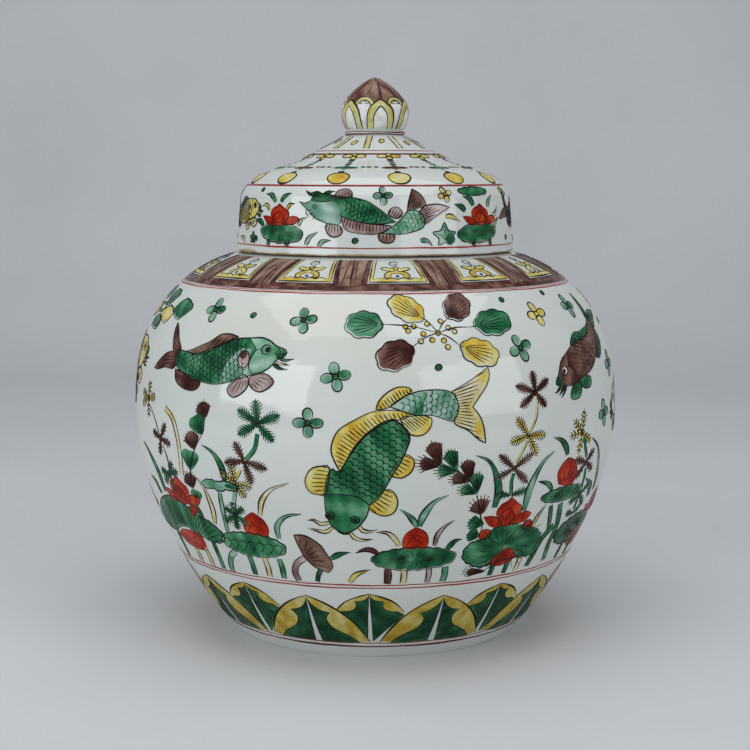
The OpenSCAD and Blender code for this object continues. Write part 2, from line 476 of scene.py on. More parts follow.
def porcelain(name, bare_below):
    """Bluish white glaze with a few warm stains, over clay that is bare below a height."""
    material, shader, add, feed = new_material(name)
    glaze = mixed(add, noise(add, 14), (200, 206, 202), (193, 200, 196))
    glaze = mixed(add, noise(add, 9, 2.0, -0.5, 0.3), glaze, (196, 190, 172))
    where = add("ShaderNodeTexCoord").outputs["Object"]
    height = add("ShaderNodeSeparateXYZ", {"Vector": where}).outputs["Z"]
    creep = noise(add, 45, 4.0, -0.8 * MM, 1.3 * MM)
    height = add("ShaderNodeMath", {0: height, 1: creep}, operation="SUBTRACT").outputs[0]
    edge = {"Value": height, "From Min": bare_below * MM, "From Max": (bare_below + 1.2) * MM,
            "To Min": 1.0, "To Max": 0.0}
    bare = add("ShaderNodeMapRange", edge).outputs["Result"]
    clay = mixed(add, noise(add, 160), (176, 150, 116), (120, 88, 60))
    feed(mixed(add, bare, glaze, clay), "Base Color")
    gloss = noise(add, 90, 2.0, 0.05, 0.09)
    dull = add("ShaderNodeMath", {0: bare, 1: 0.5}, operation="MULTIPLY").outputs[0]
    feed(add("ShaderNodeMath", {0: gloss, 1: dull}, operation="ADD").outputs[0], "Roughness")
    shader.inputs["IOR"].default_value = 1.52
    bumped(add, feed, noise(add, 38, 2.0), 0.0004, 0.35)
    return material


def enamel():
    """Glassy enamel in the colour painted on the mesh, pooled and streaked by the brush."""
    material, shader, add, feed = new_material("enamel")
    painted = add("ShaderNodeVertexColor", layer_name="paint").outputs["Color"]
    pooled = mixed(add, 1.0, painted, (222, 222, 222), "MULTIPLY")
    streak = mixed(add, noise(add, 900, 2.0), (232, 232, 232), (255, 255, 255))
    feed(mixed(add, 1.0, mixed(add, noise(add, 230, 4.0), pooled, painted), streak, "MULTIPLY"),
         "Base Color")
    feed(noise(add, 500, 2.0, 0.2, 0.32), "Roughness")
    shader.inputs["IOR"].default_value = 1.5
    shader.inputs["Specular IOR Level"].default_value = 0.1
    bumped(add, feed, noise(add, 320, 3.0), 0.0002, 0.3)
    return material


def ink_paint():
    """Brown-black drawing ink, fired nearly matt."""
    material, shader, add, feed = new_material("drawing_ink")
    shader.inputs["Base Color"].default_value = (*linear((14, 11, 11)), 1)
    shader.inputs["Specular IOR Level"].default_value = 0.12
    feed(noise(add, 600, 2.0, 0.35, 0.55), "Roughness")
    bumped(add, feed, noise(add, 900), 0.0001, 0.3)
    return material


# ---------------------------------------------------------------- small motifs

def ray(degrees):
    """A flat direction: 0 points right and 90 up."""
    return np.exp(1j * np.radians(degrees))


def quatrefoil(sheet, at, hue="mint", tilt=0, size=1.0):
    """Four loose petals round a ringed centre."""
    for k in range(4):
        aim = ray(90 * k + tilt)
        leaf = oval(at + aim * 5 * size, 3.7 * size, 2.9 * size, np.angle(aim), step=1.4)
        sheet.fill(shrink(leaf, 0.5) + 0.3 * aim * ray(70), "green" if hue == "mint" and k == 0 else hue,
                   0, aim)
        sheet.ink(leaf, 0.6, closed=True, lively=0.6)
    middle = oval(at, 1.9 * size, 1.8 * size, step=1.1)
    sheet.shape(middle, "deep" if hue == "mint" else "yellow", 1, width=0.7)


def dot(sheet, at, size=2.1):
    """A small green dot."""
    sheet.shape(oval(at, size, size * 0.85, 0.5, step=1.2), "green", width=0.7)


def berry(sheet, at):
    """A small yellow berry."""
    sheet.shape(oval(at, 1.6, 1.6, step=1.1), "yellow", 1, inset=0.15, width=0.6)


def frond(sheet, root, tip, wide, hue, gap):
    """One frond: a narrow wash with a dark spine and hairs, a gap apart, that lean to its tip."""
    reach = tip - root
    way = reach / abs(reach)
    count = max(int(abs(reach) / gap), 4)
    share = (np.arange(count) + 0.3) / count
    breadth = wide * np.minimum(1, 0.45 + 1.2 * share) * np.minimum(1, 2.2 * (1.14 - share))
    spine = root + reach * share * 0.92
    left = spine + (0.62j + 0.4) * way * breadth
    right = spine + (0.4 - 0.62j) * way * breadth
    sheet.fill(curve(np.r_[root, right, tip, left[::-1]], closed=True, step=1.5), hue, 0, way)
    sheet.ink(np.array([root, root + reach * 0.5, tip]), 0.7, HAIRS.get(hue))
    for side in (1.1j, -1.1j):
        for foot, out in zip(spine, breadth):
            sheet.ink(foot + way * out * np.array([-0.1, 0.35 + side / 2, 0.8 + side]), 0.35 * gap,
                      HAIRS.get(hue), ends=0.45)


def feather_star(sheet, at, size, hue, aims=(95, 165, 232, 300, 20), wide=2.9, gap=HAIR_GAP):
    """Toothed fronds spread from one point."""
    for aim in aims:
        reach = size * dice.uniform(0.86, 1.06)
        frond(sheet, at, at + ray(aim + dice.uniform(-5, 5)) * reach, wide, hue, gap)


def lobe(sheet, root, aim, size, hue, spread=24, cover=0.9):
    """Brush hairs that fan out from a root, over a wash shaped like a drop."""
    turns = np.linspace(-spread, spread, int(5 + spread / 12))
    reach = size * (0.8 + 0.2 * np.cos(np.radians(turns * 90 / spread)))
    sheet.fill(curve(np.r_[root, root + reach * cover * ray(aim + turns)], closed=True, step=1.5), hue, 0,
               ray(aim))
    for turn, far in zip(turns, reach):
        start = root + ray(aim + turn * 0.6) * far * dice.uniform(0.12, 0.3)
        bend = root + ray(aim + turn * 0.85) * far * 0.6
        tip = root + ray(aim + turn) * far * dice.uniform(0.94, 1.08)
        sheet.ink(np.array([start, bend, tip]), 0.66, HAIRS.get(hue), ends=0.5)


def hairy_fan(sheet, root, aim, size, hue):
    """A tuft in two lobes, one full and one of loose hairs."""
    lobe(sheet, root, aim - 31, size * 1.06, hue, 24, 0.93)
    lobe(sheet, root, aim + 31, size * 1.04, hue, 26, 0.8)


def shell_leaf(sheet, root, aim, size, hue, spread):
    """A rounded leaf with a smooth edge and short veins from its stem."""
    turns = np.linspace(-spread, spread, 7)
    reach = size * np.array([0.86, 1.02, 0.98, 0.94, 1.02, 1.0, 0.82])
    leaf = curve(np.r_[root - ray(aim) * 0.6, root + reach * ray(aim + turns)], closed=True, step=1.6)
    sheet.fill(leaf, hue, 0, ray(aim))
    for turn in np.linspace(-spread, spread, 9)[1:-1]:
        far = size * dice.uniform(0.6, 0.95)
        way = ray(aim + turn)
        sheet.ink(np.array([root + way * 1.2, root + way * far * 0.6, root + way * far]), 0.6,
                  HAIRS.get(hue), ends=0.3)


def chain(sheet, fans, tuft=hairy_fan):
    """Tufts strung on an ink stem. Each is the root and whatever else its function takes."""
    roots = np.array([fan[0] for fan in fans])
    sheet.ink(curve(roots), 0.7)
    for fan in fans:
        tuft(sheet, *fan)


def fan_leaf(sheet, root, middle, long, short, hue):
    """A rounded scalloped leaf with veins from where it joins its stem."""
    aim = middle - root
    turn = np.angle(aim)
    outline = oval(middle, long * 0.93, short * 0.93, turn, 7, 1.2, 1.4)
    sheet.shape(outline, hue, 0, aim / abs(aim), inset=0.5, off=0.5 + 0.5j)
    heel = middle - aim / abs(aim) * long * 0.9
    for tilt in np.linspace(-0.75, 0.75, 6):
        reach = long * 0.72 * math.cos(tilt * 1.5) + 1j * short * 0.75 * math.sin(tilt * 1.5)
        tip = middle + reach * np.exp(1j * turn)
        heel_out = heel + (tip - heel) * 0.12
        sheet.ink(curve(np.array([heel_out, (heel + tip) / 2 + (tip - heel) * 0.05j * tilt, tip]),
                        step=5), 0.45)
    sheet.ink(curve(np.array([root, heel]), step=6), 0.6)


def blade(sheet, path, hue="green", wide=4.2):
    """A curved leaf from root to pointed tip, with a brushed edge."""
    spine = curve(path)
    along = np.gradient(spine)
    aside = 1j * along / abs(along)
    share = np.linspace(0, 1, len(spine))
    half = wide / 2 * (0.62 + 0.38 * np.sin(np.pi * np.minimum(1, share * 1.5))) * (1 - share ** 3) + 0.12
    sheet.strip(spine + aside * half, spine - aside * half, hue, ENAMEL,
                flow=along.mean() / abs(along.mean()))
    sheet.ink(spine + aside * half, 0.75, lively=0.5)
    sheet.ink((spine - aside * half)[:-1], 0.6, lively=0.5)


def stem(sheet, path, hue="green", wide=4.0):
    """A stalk with an ink line down each side."""
    spine = curve(path)
    along = np.gradient(spine)
    aside = 1j * along / abs(along) * wide / 2
    sheet.strip(spine + aside, spine - aside, hue, ENAMEL, flow=1)
    sheet.ink(spine + aside, 0.8, lively=0.4)
    sheet.ink(spine - aside, 0.6, lively=0.4)


def twig(sheet, path, hue="yellow", wide=1.7):
    """A thin stem with an ink line down one side."""
    spine = curve(path)
    along = np.gradient(spine)
    aside = 1j * along / abs(along) * wide / 2
    sheet.strip(spine + aside, spine - aside, hue, ENAMEL, flow=1)
    sheet.ink(spine + aside, 0.55, lively=0.4)


def stalk(sheet, across, low, high, hue, wide=3.5):
    """A short stem that bows a little between two heights."""
    stem(sheet, pts(across, low, across + 0.6, (low + high) / 2, across, high), hue, wide)


def lotus_leaf(sheet, at, long, short, hue="green", turn=0.0, veins=16, scallops=15):
    """A broad leaf seen from the side, with veins from its middle."""
    outline = oval(at, long, short, turn, scallops, 0.09 * short + 0.2, 1.4)
    sheet.shape(outline, hue, 0, -1j * np.exp(1j * turn), inset=0.6)
    for angle in np.linspace(0, 2 * np.pi, veins, endpoint=False):
        way = (long * math.cos(angle) + 1j * short * math.sin(angle)) * np.exp(1j * turn)
        far = dice.uniform(0.62, 0.86)
        sheet.ink(at + way * np.array([0.2, far * 0.55, far]), 0.6, ends=0.15)


def cell_leaf(sheet, at, long, short):
    """A broad leaf veined in rounded cells."""
    sheet.shape(oval(at, long, short, 0, 17, 0.9, 1.4), "jade", 0, 1j, inset=0.6)
    for k in range(-3, 4):
        middle = at + long * 0.27 * k
        sheet.ink(curve(middle + pts(-3.2, 0.6, -1.6, 2.2, 1.2, 2.0, 3.0, 0.2)), 0.6)
        sheet.ink(curve(middle + pts(2.6, -0.4, 1.2, -2.6, -0.6, -4.8)), 0.6)


def petal(sheet, outline, coat, veins=3):
    """One red petal with darker brush lines."""
    sheet.fill(outline, "red", coat, -1j)
    sheet.ink(outline, 0.6, "rust", closed=True, level=ENAMEL + coat * COAT + 0.04)
    if veins:
        heel = complex(outline.real.mean(), outline.imag.min() - 3)
        sheet.rays(shrink(outline, 0.8), heel, veins, 0.15, 0.7, 0.6, "rust")


def lotus(sheet, at, wide=35.0, high=19.0):
    """An open red lotus seen from the side."""
    def form(*numbers):
        flat = pts(*numbers)
        return at + flat.real * wide / 35 + 1j * flat.imag * high / 19
    petal(sheet, loop(form(-5, 3, -8.5, 9, -7.5, 13, -5, 15.6, -2.2, 16.6, 0, 19),
                      form(2.5, 17, 5.5, 14.5, 8.5, 12.6, 9.5, 8, 6, 2, 0, 1)), 0)
    petal(sheet, loop(form(-17, 7.6, -12, 7.6, -8, 6.4, -4, 3, -4, 0.2),
                      form(-8, -0.4, -12.5, 1.6)), 1, 2)
    petal(sheet, loop(form(18.5, 6, 15, 7.9, 11, 7.6, 6, 5, 3.4, 1.4),
                      form(5, 0.1, 10, 0.3, 15.6, 1.6)), 1, 2)
    petal(sheet, loop(form(-5.6, 0.4, -6, 6.5, -2.5, 10.5, 0.4, 12.4),
                      form(3.6, 9.4, 5.6, 5, 4.2, 0.2, -0.5, -0.6)), 2)


def bud(sheet, at, wide=16.0, high=14.5, turn=0.0):
    """A closed red bud standing on a leaf."""
    def form(*numbers):
        flat = pts(*numbers)
        return at + (flat.real * wide + 1j * flat.imag * high) * np.exp(1j * turn)
    sheet.fill(loop(form(-0.46, 0, -0.52, 0.35, -0.4, 0.7, -0.16, 0.9, 0, 1),
                    form(0.16, 0.9, 0.4, 0.7, 0.52, 0.35, 0.46, 0), form(0, -0.05)), "red", 0, -1j)
    for line in (form(-0.46, 0, -0.52, 0.35, -0.4, 0.7, -0.16, 0.9, 0, 1),
                 form(0, 1, 0.16, 0.9, 0.4, 0.7, 0.52, 0.35, 0.46, 0),
                 form(-0.36, 0.1, -0.2, 0.42, 0.02, 0.62, 0.3, 0.5),
                 form(0.36, 0.08, 0.16, 0.32, -0.08, 0.5, -0.24, 0.78)):
        sheet.ink(curve(line), 0.6, "rust", level=ENAMEL + COAT)


# ---------------------------------------------------------------- carp

def carp(sheet, nose, root, body="green", fin="plum", pale="blush", head="mint", eye=None, lips="green"):
    """A carp seen from the side, from its nose to the root of its tail."""
    along = (root - nose) / CARP_LONG
    back = 1j * along if (1j * along).imag > 0 else -1j * along

    def form(*numbers):
        flat = pts(*numbers)
        return nose + flat.real * along + flat.imag * back

    carp_fins(sheet, form, along, back, fin, pale)
    carp_trunk(sheet, form, along, back, body)
    carp_head(sheet, form, along, back, fin, pale, head, eye, lips)


def carp_fins(sheet, form, along, back, fin, pale):
    """The tail, the back and belly fins, and the two small fins under the gill."""
    tail = loop(form(81, 7, 86, 13, 90, 19, 93.6, 23, 95.6, 24), form(95, 19, 92.7, 12.6, 89.5, 5.2),
                form(96.6, 4, 104, 0, 110.6, -5.2), form(104.7, -5.8, 95.5, -4.7, 86.5, -5.7, 83, -2.4))
    dorsal = loop(form(76, 5, 70, 5.9, 63, 8.2, 55, 10.8, 48, 14.8, 41, 15, 34, 13),
                  form(37.5, 10.5, 48, 7.2, 56, 3.6, 65.5, 2.4))
    anal = loop(form(83.7, -6, 82.3, -13, 75.7, -17.3, 67.8, -19.2, 61.7, -17.8, 59.4, -14.5),
                form(63, -12, 74, -8.5))
    for outline, spread, hue in ((tail, form(74, 1), fin),
                                 (dorsal, form(90, -30), "clay" if fin == "plum" else fin),
                                 (anal, form(62, 30), fin)):
        sheet.shape(outline, hue, 0, along, inset=0.3)
        sheet.rays(shrink(outline, 0.6), spread[0], 11, 0.15, 0.85, 0.55)
    for hip in (form(26.8, -10.3, 32, -12.3, 37.4, -16.3, 38.8, -20, 35, -23.5, 30, -22,
                     25.5, -18.5, 23.6, -14),
                form(22.9, -11.7, 17.6, -9.6, 11.7, -11.2, 8, -15.2, 10.5, -18.5, 16.7, -21,
                     21.6, -19, 24, -15)):
        outline = curve(hip, closed=True)
        sheet.shape(outline, pale, 0, -back, inset=0.3, width=0.7)
        sheet.rays(outline, hip[0] + (hip[0] - outline.mean()) * 0.6, 6, 0.3, 0.8, 0.45)


def carp_trunk(sheet, form, along, back, body):
    """The body with its scales."""
    trunk = loop(form(0, 1, 1.6, -1, 6, -2.6, 11, -7.4, 18, -10.6, 26, -11.6, 34, -13.6, 42, -15.2,
                      50, -15.4, 58, -14, 66, -12.3, 74, -9, 81.5, -5.2, 85, -1.3, 84, 2.6, 82.3, 6),
                 form(74.5, 4.7, 66.5, 3.3, 58.5, 4.5, 48, 8, 39.6, 11, 31.5, 11.8, 23.5, 11.6,
                      17.4, 11.6, 11.5, 9.4, 6.6, 5.6, 1.4, 3.4))
    sheet.shape(trunk, body, 1, along)
    scaled = loop(form(27, 10.8, 23, 4, 26, -3, 25, -11, 42, -14.7, 58, -13.6, 74, -8.6, 84, -1),
                  form(82, 5.5, 74, 4, 66, 2.8, 58, 4, 48, 7.4, 39, 10.4))
    sheet.scales(scaled, form(25, 0, 45, -3, 65, -4, 84, 1), 3.5 * abs(along), 0.6,
                 "clay" if body == "plum" else None)
    if body == "green":
        sheet.fill(loop(form(21, -10.4, 30, -12, 44, -14.6), form(42, -8, 38, -1, 31, 5, 23, 5),
                        form(24, -3)), "fade", 2, 1.7 * (along * 0.8 + back * 0.5) / abs(along))


def carp_head(sheet, form, along, back, fin, pale, head, eye, lips):
    """The gill, the face, the eye, the mouth and the barbels."""
    gill = form(25, 11.4, 22.5, 8, 20, 4, 22, 1, 24.2, -4, 23.5, -8, 21, -10.8)
    face = loop(form(0, 1, 1.6, -1, 6, -2.6, 11, -7.2, 18, -10.2, 21, -10.4), gill[::-1][1:],
                form(17.4, 11.2, 11.5, 9, 6.6, 5.3, 1.4, 3.2))
    sheet.fill(shrink(face, 0.3), head, 2, along)
    sheet.ink(curve(gill), 0.7)
    if eye is None:
        breast = oval(form(27.8, -1.2)[0], 5.2 * abs(along), 3.8 * abs(along), np.angle(back))
        sheet.shape(breast, pale, 3, -back, width=0.7)
        sheet.fill(oval(form(28.4, 1.4)[0], 2.6 * abs(along), 2.4 * abs(along)), fin, 4)
    look = form(13.4, 3.8)[0]
    sheet.fill(oval(look, 2.9 * abs(along), 2.7 * abs(along), step=1.2), eye or head, 3)
    sheet.ink(oval(look, 3.1 * abs(along), 2.9 * abs(along), step=1.2), 0.7, closed=True)
    sheet.ink(oval(look - 0.8 * along, 0.8 * abs(along), 0.9 * abs(along), step=0.7), 1.7, closed=True)
    sheet.ink(curve(form(21, 3, 18.6, 4.4, 16.8, 4.4)), 0.6)
    sheet.fill(loop(form(0.2, 1, 1.8, -0.8, 6.2, -2.2), form(7.2, 1, 6.4, 5), form(1.6, 3.1)), lips, 3)
    for line in (form(5, 4.6, 4.2, 1, 5.2, -2), form(2.6, 3.8, 2, 0.8, 2.8, -1.4),
                 form(0, 1, 4, 0.4, 8, 1.4)):
        sheet.ink(curve(line), 0.6)
    for line, hue in ((form(5, -2, 0, -3.4, -4.4, -3), lips),
                      (form(8, -3.8, 3, -5.4, -1.6, -6.6), lips if eye else "straw"),
                      (form(8.6, -5.4, 4, -8, -0.6, -9), lips)):
        blade(sheet, line, hue, 1.4)


def golden_fin(sheet, outline, origin, count, hue="yellow", coat=0, flow=1j):
    """A hatched fin."""
    sheet.shape(outline, hue, coat, flow)
    sheet.rays(outline, origin, count, 0.04, 0.72, 0.6)


def great_carp(sheet, body="green", tail="teal", fin="yellow", head="jade"):
    """A big carp seen from above, diving, with its tail swung across."""
    great_carp_fins(sheet, fin)
    great_carp_body(sheet, body, tail, fin)
    great_carp_head(sheet, head)


def great_carp_fins(sheet, fin):
    """The tail fin and the fins along both sides."""
    golden_fin(sheet, loop(pts(43, 191, 50, 194.5, 58, 199, 66, 204),
                           pts(66.5, 200, 64.5, 194, 60, 188, 55, 181.5),
                           pts(59, 176, 61.5, 169, 62.5, 160),
                           pts(58, 162.5, 52, 168, 44, 172.5, 46, 178, 46.5, 184)), 20 + 182j, 16,
               "straw" if fin == "yellow" else fin, 0, -1)
    golden_fin(sheet, loop(pts(0.5, 181.5, 2, 186, 6, 190.5, 12, 194, 18, 194, 20.5, 192),
                           pts(14, 187, 8, 183, 4, 181.5)), 40 + 140j, 12, fin)
    golden_fin(sheet, curve(pts(14, 176.5, 20, 177.5, 27, 177.5, 31, 176, 30.5, 171, 27, 167, 22, 166,
                                18, 168, 15, 173), closed=True), -10 + 200j, 9, fin)
    golden_fin(sheet, curve(pts(15, 154.5, 18, 155, 21, 152.5, 21.5, 149, 19.5, 144.5, 15, 141.5, 11, 142,
                                8, 144), closed=True), -20 + 170j, 7, fin)
    golden_fin(sheet, curve(pts(4, 133, 8, 134.5, 11.5, 131, 12.8, 126, 11, 120, 6, 117.5, 1, 119,
                                -3.5, 123.5), closed=True), -30 + 150j, 7, fin)
    golden_fin(sheet, curve(pts(-25, 147, -30, 148, -35, 146.5, -38.5, 141.5, -39, 136, -36, 131.5,
                                -31, 130.5, -27.5, 131), closed=True), 30 + 139j, 8, fin)
    golden_fin(sheet, loop(pts(-19, 145, -22, 151, -24, 158, -22, 166, -18, 171, -10, 176, -2, 180,
                               6, 181, 14, 180.5, 20, 179),
                           pts(16, 176, 10, 175, 4, 173, -3, 168, -8, 163, -13, 156, -17, 149)),
               45 + 120j, 26, fin)


def great_carp_body(sheet, body, tail, fin):
    """The trunk and the swung tail, with their scales."""
    rear = loop(pts(8, 183, 13, 187, 20, 190.5, 28, 192, 38, 192, 44, 189.5, 46.5, 184, 46, 178,
                    43, 173.5), pts(40, 174.5, 35, 176.5, 30, 177.8, 22, 178, 16, 180))
    sheet.shape(rear, tail, 1, -1)
    sheet.fill(loop(pts(9, 182.8, 13, 186.2, 20, 189.6, 29, 191, 27, 185, 26, 178.4, 21, 178.6,
                        16, 180.4)), "fade" if body == "green" else body, 2, -1.8)
    sheet.scales(rear, pts(8, 182, 20, 184.5, 32, 185, 45, 182), 3.7, 0.6,
                 "deep" if body == "green" else None)
    for tip in (pts(58, 199.6, 62, 201.5, 65.6, 203.2, 65.6, 200, 63.8, 195.5, 61, 195),
                pts(58.4, 174, 60, 169, 61.6, 163, 58.6, 164.6, 56, 168, 56, 171)):
        sheet.fill(curve(tip, closed=True), fin, 1, 1)
    trunk = loop(pts(-28.5, 131, -27, 140, -24, 147, -20.5, 145, -17, 149, -13, 157, -8, 164, -3, 169,
                     4, 174, 10, 176), pts(14, 173, 18, 168, 19, 164, 17, 158, 14, 151, 10, 144, 6, 136,
                                           2, 129, -3, 124.5), pts(-8, 129, -14, 131, -22, 131.5))
    sheet.shape(trunk, body, 1, 1)
    sheet.scales(trunk, pts(-17, 128, -12, 138, -4, 151, 4, 164, 11, 176), 3.9, 0.6)


def great_carp_head(sheet, head):
    """The head with its eyes, mouth and barbels."""
    skull = loop(pts(-28.5, 131, -22, 131.5, -14, 131, -8, 129, -3, 124.5),
                 pts(-5, 117, -9, 111, -13, 107.5, -16, 106, -19, 106, -25, 110, -28, 118, -28.5, 127))
    sheet.shape(skull, head, 2, 1.2)
    for eye, turn in ((-26 + 117.5j, 0.4), (-11.5 + 115j, -0.4)):
        sheet.shape(oval(eye, 2.7, 2.3, turn, step=1.3), "deep", 4, width=0.8)
        sheet.ink(oval(eye, 0.8, 0.8, step=0.7), 1.3, closed=True)
    sheet.ink(curve(pts(-22.5, 107, -20, 105.6, -17, 104.8, -14.5, 106)), 0.8)
    for line in (pts(-26, 112.5, -32, 111.5, -36, 114, -40, 113.5),
                 pts(-25, 109.5, -29, 106.2, -34, 106.8, -40, 108.3),
                 pts(-9.5, 111, -7, 107.5, -2, 107, 1.5, 108.5),
                 pts(-15, 106.5, -12, 102.5, -7, 101, -1.5, 101.5)):
        blade(sheet, line, "straw", 2.2)


# ---------------------------------------------------------------- the pond

def leaf_whorl(sheet):
    """Six fan leaves and yellow berries on thin stems."""
    for root, middle, hue, long, short in (
            (6 + 232j, -7 + 232j, "leek", 11.5, 8.8), (29 + 236.5j, 20 + 243j, "yellow", 13, 8.4),
            (46 + 235j, 54.5 + 243.5j, "plum", 11.5, 8.4), (60 + 229j, 76.5 + 231.5j, "green", 14, 8.4),
            (51 + 217j, 62.5 + 213j, "yellow", 12.5, 8), (21 + 217j, 11.5 + 212.5j, "plum", 11.5, 8.6)):
        fan_leaf(sheet, root, middle, long, short, hue)
        sheet.ink(curve(np.array([38 + 226j, (38 + 226j + root) / 2 + 1.5j, root])), 0.6)
    for at in pts(38, 226, 32, 232, 41, 233.5, 18.5, 230.5, 20, 227.5, 23.5, 230.5, 29, 225.5,
                  45, 229, 48.5, 226.5, 41, 221, 43, 217, 27, 221, 34, 221.5):
        berry(sheet, at)


def left_stars(sheet):
    """Feather stars and a chain of fans at the left of the great carp."""
    twig(sheet, pts(-67, 165, -69, 156, -75, 149), "jade", 2.6)
    twig(sheet, pts(-79, 143, -81, 139, -84, 136), "yellow", 2)
    twig(sheet, pts(-84, 130, -88, 118, -88, 112), "mint", 2.8)
    feather_star(sheet, -67 + 171j, 15.5, "green", (92, 20, 312, 212, 155), 3.5)
    feather_star(sheet, -76 + 148j, 15, "clay", (115, 192, 346, 290), 3.1)
    feather_star(sheet, -84 + 134j, 12.5, "yellow", (150, 100, 306, 348))
    feather_star(sheet, -88 + 112j, 10.5, "green", (155, 210, 265, 320, 40, 92))
    sheet.ink(curve(pts(-162, 171, -155, 164, -149, 155)), 0.9, "umber")
    sheet.ink(curve(pts(-146, 150, -142, 141, -142, 133)), 0.9, "umber")
    feather_star(sheet, -166 + 176j, 13, "yellow", (85, 12, 170, 205, 280), gap=SIDE_GAP)
    feather_star(sheet, -148 + 153j, 13, "plum", (60, 165, 250, 350), gap=SIDE_GAP)
    feather_star(sheet, -143 + 131j, 12, "green", (20, 60, 170, 215, 290), gap=SIDE_GAP)
    stem(sheet, pts(-128, 133, -127, 143, -128, 155, -133, 167, -142, 173), "straw", 3)
    chain(sheet, [(-103.5 + 171j, 112, 11, "plum", 48), (-106 + 161.5j, 124, 12.5, "green", 44),
                  (-113 + 151j, 110, 12.5, "plum", 46), (-118.5 + 138j, 86, 12.5, "green", 46),
                  (-119.5 + 125.5j, 106, 11, "plum", 54), (-118 + 118j, 88, 7, "green", 62)],
          lambda sheet, *leaf: (lobe if leaf[3] == "plum" else shell_leaf)(sheet, *leaf))


def palm_leaf(sheet):
    """Blunt leaflets in green and yellow, spread round a white eye."""
    leaflets = (("green", pts(-163, 240, -157, 243.6, -150, 242.4, -143, 239.5, -140.6, 236.8, -145, 232,
                              -151, 227.6, -156, 228.8, -162.5, 231.6, -166, 235)),
                ("yellow", pts(-177, 236.6, -170, 235.4, -163.4, 231.8, -165, 227, -168.6, 223.6,
                               -176, 225.2, -187, 227, -188, 232)),
                ("green", pts(-191, 228.6, -181, 227.4, -178.6, 223, -180.4, 219, -186, 218.4,
                              -197, 219.4, -201, 224)),
                ("green", pts(-190, 236, -183, 236, -178, 240, -174.4, 245, -180, 248.4,
                              -190, 249, -197, 244)),
                ("yellow", pts(-203, 229, -213, 225, -218, 229, -214, 236, -204, 236.6)),
                ("green", pts(-204, 239, -213, 243, -218, 248, -210, 251, -201, 248)))
    for hue, corners in leaflets:
        leaf = polygon(corners)
        sheet.fill(shrink(leaf, 0.5) + 0.4j, hue, 1, 1j)
        sheet.ink(leaf, 0.75, closed=True, lively=0.6)
    sheet.fill(curve(pts(-204, 231, -196, 229.6, -187, 231, -187, 236, -196, 238, -204, 237),
                     closed=True), "deep")
    sheet.fill(oval(-193 + 234j, 3.4, 1.8), "white", 2)


def right_stars(sheet):
    """Feather stars and a chain of fans at the right of the great carp."""
    twig(sheet, pts(98, 184, 97, 173, 92, 164), "lemon", 1.5)
    twig(sheet, pts(90, 159, 87, 153, 83, 146), "lemon", 1.7)
    twig(sheet, pts(82, 140, 81, 134, 82, 127), "jade", 2.2)
    twig(sheet, pts(141, 155, 144, 147, 147, 141), "green", 2.6)
    twig(sheet, pts(148, 134, 149, 126, 148, 106), "green", 2.6)
    feather_star(sheet, 97 + 187j, 14.5, "plum", (92, 165, 215, 316, 35))
    feather_star(sheet, 91 + 162j, 15, "yellow", (125, 195, 300, 358))
    feather_star(sheet, 82 + 143j, 15.5, "clay", (142, 207, 29, 320), 2.7)
    feather_star(sheet, 82 + 126j, 12, "green", (175, 10))
    feather_star(sheet, 139 + 158j, 14, "yellow", (75, 140, 185, 255, 330), gap=SIDE_GAP)
    feather_star(sheet, 147 + 138j, 14, "plum", (160, 30, 225, 330), 2.9, gap=SIDE_GAP)
    feather_star(sheet, 150 + 116j, 14, "green", (150, 30, 200, 320), 2.9, gap=SIDE_GAP)
    feather_star(sheet, 148 + 103j, 10, "green", (165, 20), 2.6, gap=SIDE_GAP)
    chain(sheet, [(36.4 + 148.6j, 143, 14.5, "plum"), (46 + 144.5j, 145, 13.5, "green"),
                  (54 + 137.5j, 131, 13.5, "plum"), (59 + 129.5j, 126, 13, "green")])
    sheet.ink(curve(pts(59, 129.5, 63, 116, 66, 107, 65, 99)), 0.7)
    lobe(sheet, 64.5 + 115.5j, 114, 13, "plum", 48, 0.82)
    lobe(sheet, 67 + 108.5j, 170, 11.5, "green", 34, 0.95)
    lobe(sheet, 65 + 100j, 160, 8.5, "green", 46, 1.0)
    lobe(sheet, 77 + 73j, 176, 18, "plum", 15, 0.8)


def side_stars(sheet):
    """A pair of feather stars and some flowers in the gap at the side of the pond."""
    twig(sheet, pts(-236, 158, -237, 148, -232, 138), "lemon", 1.7)
    twig(sheet, pts(-231, 128, -229, 120, -230, 112), "jade", 2.2)
    feather_star(sheet, -237 + 166j, 14, "clay", (85, 150, 205, 330, 25), gap=SIDE_GAP)
    feather_star(sheet, -231 + 134j, 14, "green", (70, 160, 215, 320, 15), gap=SIDE_GAP)
    quatrefoil(sheet, -240 + 238j, "yellow", 14)
    quatrefoil(sheet, -206 + 176j, "mint", 5)
    for at in pts(-222, 190, -262, 222):
        dot(sheet, at)


def clump_a(sheet):
    """A broad dark leaf with an open lotus above it and a bud below."""
    for across, hue, high in ((-163, "green", 90), (-142, "straw", 79.5), (-128, "straw", 82),
                              (-116, "green", 89)):
        stalk(sheet, across, 68.5, high, hue)
    blade(sheet, pts(-118, 104, -120, 111, -121, 118), "green", 4)
    leaf = curve(pts(-190, 93, -180, 103, -168, 110, -155, 114, -146, 114.5, -135, 112, -124, 106,
                     -114, 104, -106, 99, -103, 95, -106, 90.5, -116, 89, -128, 92, -140, 95, -150, 94,
                     -160, 90, -170, 88, -180, 89), closed=True, step=1.5)
    leaf = wavy(leaf, 34, 0.7)
    sheet.shape(leaf, "green", 0, -1j, inset=0.5)
    sheet.rays(leaf, -142 + 82j, 26, 0.1, 0.85, 0.6)
    lotus(sheet, -136 + 113j, 40, 18)
    bud(sheet, -127 + 86j, 13, 34, math.pi / 2)
    petal(sheet, loop(pts(-130, 111, -124, 113, -120, 111), pts(-124, 107, -129, 105.5)), 3, 0)


